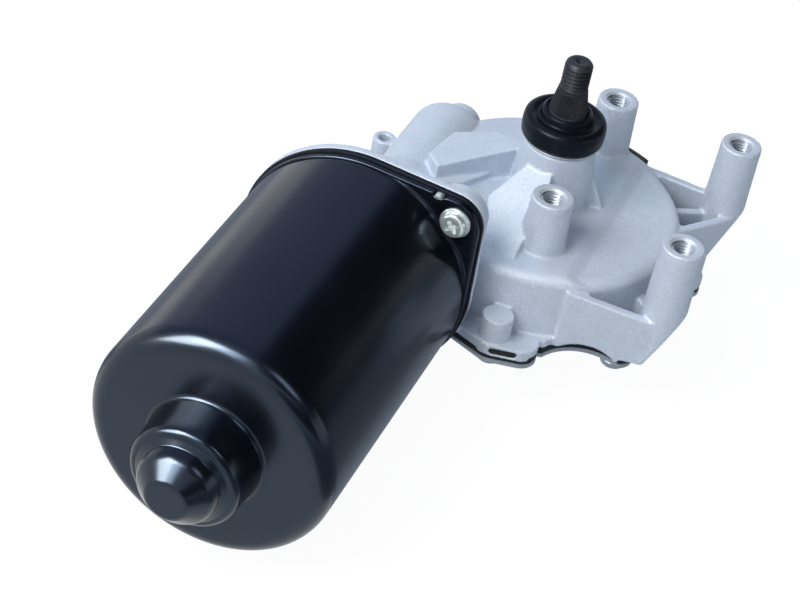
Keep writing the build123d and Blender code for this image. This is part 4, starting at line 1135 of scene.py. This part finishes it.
# ---------------------------------------------------------------------------- inner works
@dataclass
class InnerWorks:
    """Frame nodes inside the motor and gear case.

    Args:
        finishes: finish of each node.
    """

    finishes: dict[str, Finish] = field(default_factory=lambda: {
        "field_magnets": FERRITE, "magnet_clips": SHEET_STEEL, "rear_bush": BRONZE,
        "rear_bush_carrier": SHEET_STEEL, "thrust_pad": NYLON, "brush_boxes": BRASS,
        "carbon_brushes": CARBON, "brush_springs": SHEET_STEEL, "chokes": ENAMEL,
        "armature_shaft": GROUND, "armature_core": LAMINATE, "armature_windings": ENAMEL,
        "commutator_hub": RESIN, "commutator_bars": COPPER, "bearing_inner": BALL, "bearing_outer": BALL,
        "bearing_balls": BALL, "bearing_clip": SHEET_STEEL, "worm_end_bush": BRONZE, "thrust_ball": BALL,
        "worm_wheel": ACETAL, "wheel_hub": SHEET_STEEL, "park_disc": BRASS, "upper_bush": BRONZE,
        "lower_bush": BRONZE, "thrust_washer": SHEET_STEEL, "shaft_circlip": SHEET_STEEL,
        "contact_plate": CARD_BLACK, "contact_fingers": BRASS,
    })

    def build(self) -> None:
        """Put the finishes on the frame nodes."""
        for name, finish in self.finishes.items():
            node = FRAME["nodes"][name]
            if node.material_slots:
                for place in node.material_slots:
                    place.material = finish.material()
            else:
                node.data.materials.append(finish.material())
            LOG.info("%s: %s", name, finish.name)


# ---------------------------------------------------------------------------- studio
@dataclass(frozen=True)
class Panel:
    """Dark or dim panel that only reflections see.

    Args:
        name: object name.
        place: centre in metres.
        size: width and height in metres.
        target: point that it faces.
        level: brightness of the panel.
        tint: its colour.
        barrel_only: whether only the painted barrel shows it.
    """

    name: str
    place: Point3
    size: Point2
    target: Point3
    level: float
    tint: Colour
    barrel_only: bool = False


@dataclass(frozen=True)
class Lamp:
    """Soft square lamp.

    Args:
        name: lamp name.
        place: centre in metres.
        side: width and height in metres, as it is square.
        power: watts.
        tint: colour.
        glossy: whether reflections see it.
    """

    name: str
    place: Point3
    side: float
    power: float
    tint: Colour
    glossy: bool = False


@dataclass(frozen=True)
class View:
    """Camera at the viewing angle.

    Args:
        turn: turn about the vertical in degrees.
        rise: rise above the ground in degrees.
        roll: roll about the line of sight in degrees.
        target: point that it faces in millimetres.
        distance: distance from that point in millimetres.
        focal: focal length in pixels.
        centre: middle of the lens in pixels.
        frame: width and height in pixels.
        sensor: width of the sensor in millimetres.
    """

    turn: float = 15.99
    rise: float = 38.51
    roll: float = -11.59
    target: Point3 = (-30.30, -63.0, -65.76)
    distance: float = 771.8
    focal: float = 2224.73
    centre: Point2 = (393.72, 298.20)
    frame: tuple[int, int] = (800, 600)
    sensor: float = 36.0

    def build(self) -> None:
        """Make the camera and set it as the scene's."""
        turn, rise, roll = (math.radians(angle) for angle in (self.turn, self.rise, self.roll))
        back = Vector((math.sin(turn) * math.cos(rise), -math.cos(turn) * math.cos(rise), math.sin(rise)))
        right = (-back).cross(UPWARD).normalized()
        down = (-back).cross(right).normalized()
        right_rolled = right * math.cos(roll) + down * math.sin(roll)
        down_rolled = -right * math.sin(roll) + down * math.cos(roll)
        place = (Vector(self.target) + back * self.distance) * MM
        width, height = self.frame
        lens = bpy.data.cameras.new("view")
        lens.sensor_width = self.sensor
        lens.lens = self.sensor * self.focal / width
        lens.shift_x = (width / 2 - self.centre[0]) / width
        lens.shift_y = (self.centre[1] - height / 2) / width
        lens.clip_start, lens.clip_end = 0.05, 60
        eye = bpy.data.objects.new("view", lens)
        turned = Matrix((right_rolled, -down_rolled, back)).transposed().to_4x4()
        eye.matrix_world = Matrix.Translation(place) @ turned
        bpy.context.scene.collection.objects.link(eye)
        bpy.context.scene.camera = eye


SKY: Colour = (0.36, 0.40, 0.57)
GREY_CARD: Colour = (0.215, 0.25, 0.30)
BARREL_END = (-0.0475, -0.175, -0.02)
PANELS = (
    Panel("flag_right", (1.684, 1.5, 1.0), (3.1, 6.0), (1.684, 1.5, 0), 0.0, SKY),
    Panel("sky_above", (-1.516, 1.9, 1.0), (3.3, 5.2), (-1.516, 1.9, 0), 1.0, SKY),
    Panel("card_right", (1.7, 1.5, 0.44), (1.1, 6.0), (0, 1.5, 0.44), 0.0, GREY_CARD),
    Panel("card_low", (0.88, 0.7, -0.1), (1.7, 2.4), (0.88, 0.7, 1), 1.0, GREY_CARD),
    Panel("card_under", (-0.12, 0.88, -0.1), (0.3, 2.04), (-0.12, 0.88, 1), 1.4, GREY_CARD),
    Panel("shine_left", (-0.7475, -0.825, 0.71), (0.65, 0.95), BARREL_END, 27.0, (1.0, 0.88, 0.76), True),
    Panel("shine_right", (0.6425, -0.385, 0.88), (0.32, 0.6), BARREL_END, 4.0, (1.0, 0.96, 1.0), True),
    Panel("flag_front", (0.86, -1.1, 0.21), (1.3, 0.6), (0, -0.17, 0.21), 0.0, GREY_CARD),
    Panel("sky_left", (-2.4, 1.9, 0.45), (1.1, 5.2), (0, 1.9, 0.45), 1.0, SKY),
)
LAMPS = (
    Lamp("key", (-0.42, -0.80, 0.85), 0.7, 18.0, (1.0, 0.98, 0.96), True),
    Lamp("top_fill", (-0.87, 0.29, 1.10), 0.9, 6.0, (0.70, 0.86, 1.0)),
    Lamp("side_fill", (1.1, -0.5, 0.5), 0.7, 2.2, (0.95, 0.98, 1.0)),
)


@dataclass
class Studio:
    """Floor, lamps, panels, world and camera.

    Args:
        floor_z: height of the floor.
        floor_size: side of the floor in metres.
        middle: point that the lamps face, in metres.
        floor_tint: colour of the floor.
        floor_glow: brightness at which the floor shows.
        sky_tint: colour of the light from the world.
        sky_level: strength of that light.
    """

    floor_z: float = -100.4
    floor_size: float = 24.0
    middle: Point3 = (-0.02, -0.06, -0.05)
    floor_tint: Colour = (0.80, 0.82, 0.85)
    floor_glow: float = 0.955
    sky_tint: Colour = (0.79, 0.89, 1.0)
    sky_level: float = 0.46
    barrel_group: bpy.types.Collection = field(init=False)

    def __post_init__(self) -> None:
        """Make the group of the painted barrel for the panels that only it shows."""
        self.barrel_group = bpy.data.collections.new("painted_barrel")
        self.barrel_group.objects.link(bpy.data.objects["barrel_shell"])

    @staticmethod
    def _split(tree: bpy.types.NodeTree, output: str, lights: bpy.types.Node,
               shows: bpy.types.Node) -> None:
        """Finish a tree that lights the object in one way and shows in another.

        Args:
            tree: node tree of a material or world.
            output: kind of its output node.
            lights: shader that diffuse rays meet.
            shows: shader that the camera, reflections and clear pieces meet.
        """
        path = add_node(tree, "LightPath").outputs
        seen, both = (add_node(tree, "Math", operation="MAXIMUM") for _ in range(2))
        mix, out = add_node(tree, "MixShader"), add_node(tree, output)
        wire(tree,
             (path["Is Camera Ray"], seen.inputs[0]), (path["Is Glossy Ray"], seen.inputs[1]),
             (seen.outputs[0], both.inputs[0]), (path["Is Transmission Ray"], both.inputs[1]),
             (both.outputs[0], mix.inputs["Fac"]), (lights.outputs[0], mix.inputs[1]),
             (shows.outputs[0], mix.inputs[2]), (mix.outputs[0], out.inputs["Surface"]))

    @staticmethod
    def _bare_material(name: str) -> bpy.types.Material:
        """Material with an empty node tree."""
        made = bpy.data.materials.new(name)
        made.use_nodes = True
        made.node_tree.nodes.clear()
        return made

    def floor(self) -> None:
        """Wide pale floor that keeps a faint shadow."""
        bpy.ops.mesh.primitive_grid_add(x_subdivisions=8, y_subdivisions=8, size=self.floor_size,
                                        location=(0, 0, self.floor_z * MM))
        ground = bpy.context.active_object
        ground.name = "studio_floor"
        made = self._bare_material("floor_white")
        tree = made.node_tree
        matte = add_node(tree, "BsdfDiffuse", {"Color": (*self.floor_tint, 1)})
        faint = add_node(tree, "BsdfDiffuse", {"Color": (0.05, 0.05, 0.05, 1)})
        glow = add_node(tree, "Emission", {"Color": (*WHITE, 1), "Strength": self.floor_glow})
        lit = add_node(tree, "AddShader")
        wire(tree, (glow.outputs[0], lit.inputs[0]), (faint.outputs[0], lit.inputs[1]))
        self._split(tree, "OutputMaterial", matte, lit)
        ground.data.materials.append(made)

    def world(self) -> None:
        """World that shows as white and lights the object softly."""
        sky = bpy.data.worlds.new("studio_world")
        bpy.context.scene.world = sky
        sky.use_nodes = True
        tree = sky.node_tree
        tree.nodes.clear()
        white = add_node(tree, "Background", {"Color": (*WHITE, 1), "Strength": 1.0})
        soft = add_node(tree, "Background", {"Color": (*self.sky_tint, 1), "Strength": self.sky_level})
        self._split(tree, "OutputWorld", soft, white)

    def hang(self, panel: Panel) -> None:
        """Put up a panel."""
        place = Vector(panel.place)
        bpy.ops.mesh.primitive_grid_add(x_subdivisions=2, y_subdivisions=2, size=1.0, location=place)
        sheet = bpy.context.active_object
        sheet.name = panel.name
        sheet.scale = (*panel.size, 1)
        sheet.rotation_euler = (Vector(panel.target) - place).to_track_quat("Z", "Y").to_euler()
        made = self._bare_material(panel.name)
        tree = made.node_tree
        glow = add_node(tree, "Emission", {"Color": (*panel.tint, 1), "Strength": panel.level})
        wire(tree, (glow.outputs[0], add_node(tree, "OutputMaterial").inputs["Surface"]))
        sheet.data.materials.append(made)
        sheet.visible_camera = False
        sheet.visible_diffuse = False
        sheet.visible_shadow = False
        sheet.visible_transmission = False
        if panel.barrel_only:
            sheet.light_linking.receiver_collection = self.barrel_group

    def light(self, lamp: Lamp) -> None:
        """Put up a lamp that faces the middle."""
        shape = bpy.data.lights.new(lamp.name, "AREA")
        shape.shape = "RECTANGLE"
        shape.size = shape.size_y = lamp.side
        shape.energy = lamp.power
        shape.color = lamp.tint
        made = bpy.data.objects.new(lamp.name, shape)
        made.location = lamp.place
        towards = Vector(self.middle) - Vector(lamp.place)
        made.rotation_euler = towards.to_track_quat("-Z", "Y").to_euler()
        made.visible_camera = False
        made.visible_glossy = lamp.glossy
        bpy.context.scene.collection.objects.link(made)

    def build(self) -> None:
        """Set up the studio."""
        bpy.context.scene.view_settings.view_transform = "Standard"
        View().build()
        self.floor()
        self.world()
        for lamp in LAMPS:
            self.light(lamp)
        for panel in PANELS:
            self.hang(panel)


def main() -> None:
    """Build the part's looks."""
    logging.basicConfig(level=logging.INFO, format="%(name)s %(message)s")
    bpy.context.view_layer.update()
    for assembly in (MotorBarrel, GearCasting, CaseCover, OutputEnd, PlugSide, InnerWorks, Studio):
        LOG.info("building %s", assembly.__name__)
        assembly().build()


if __name__ == "__main__":
    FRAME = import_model()
    main()
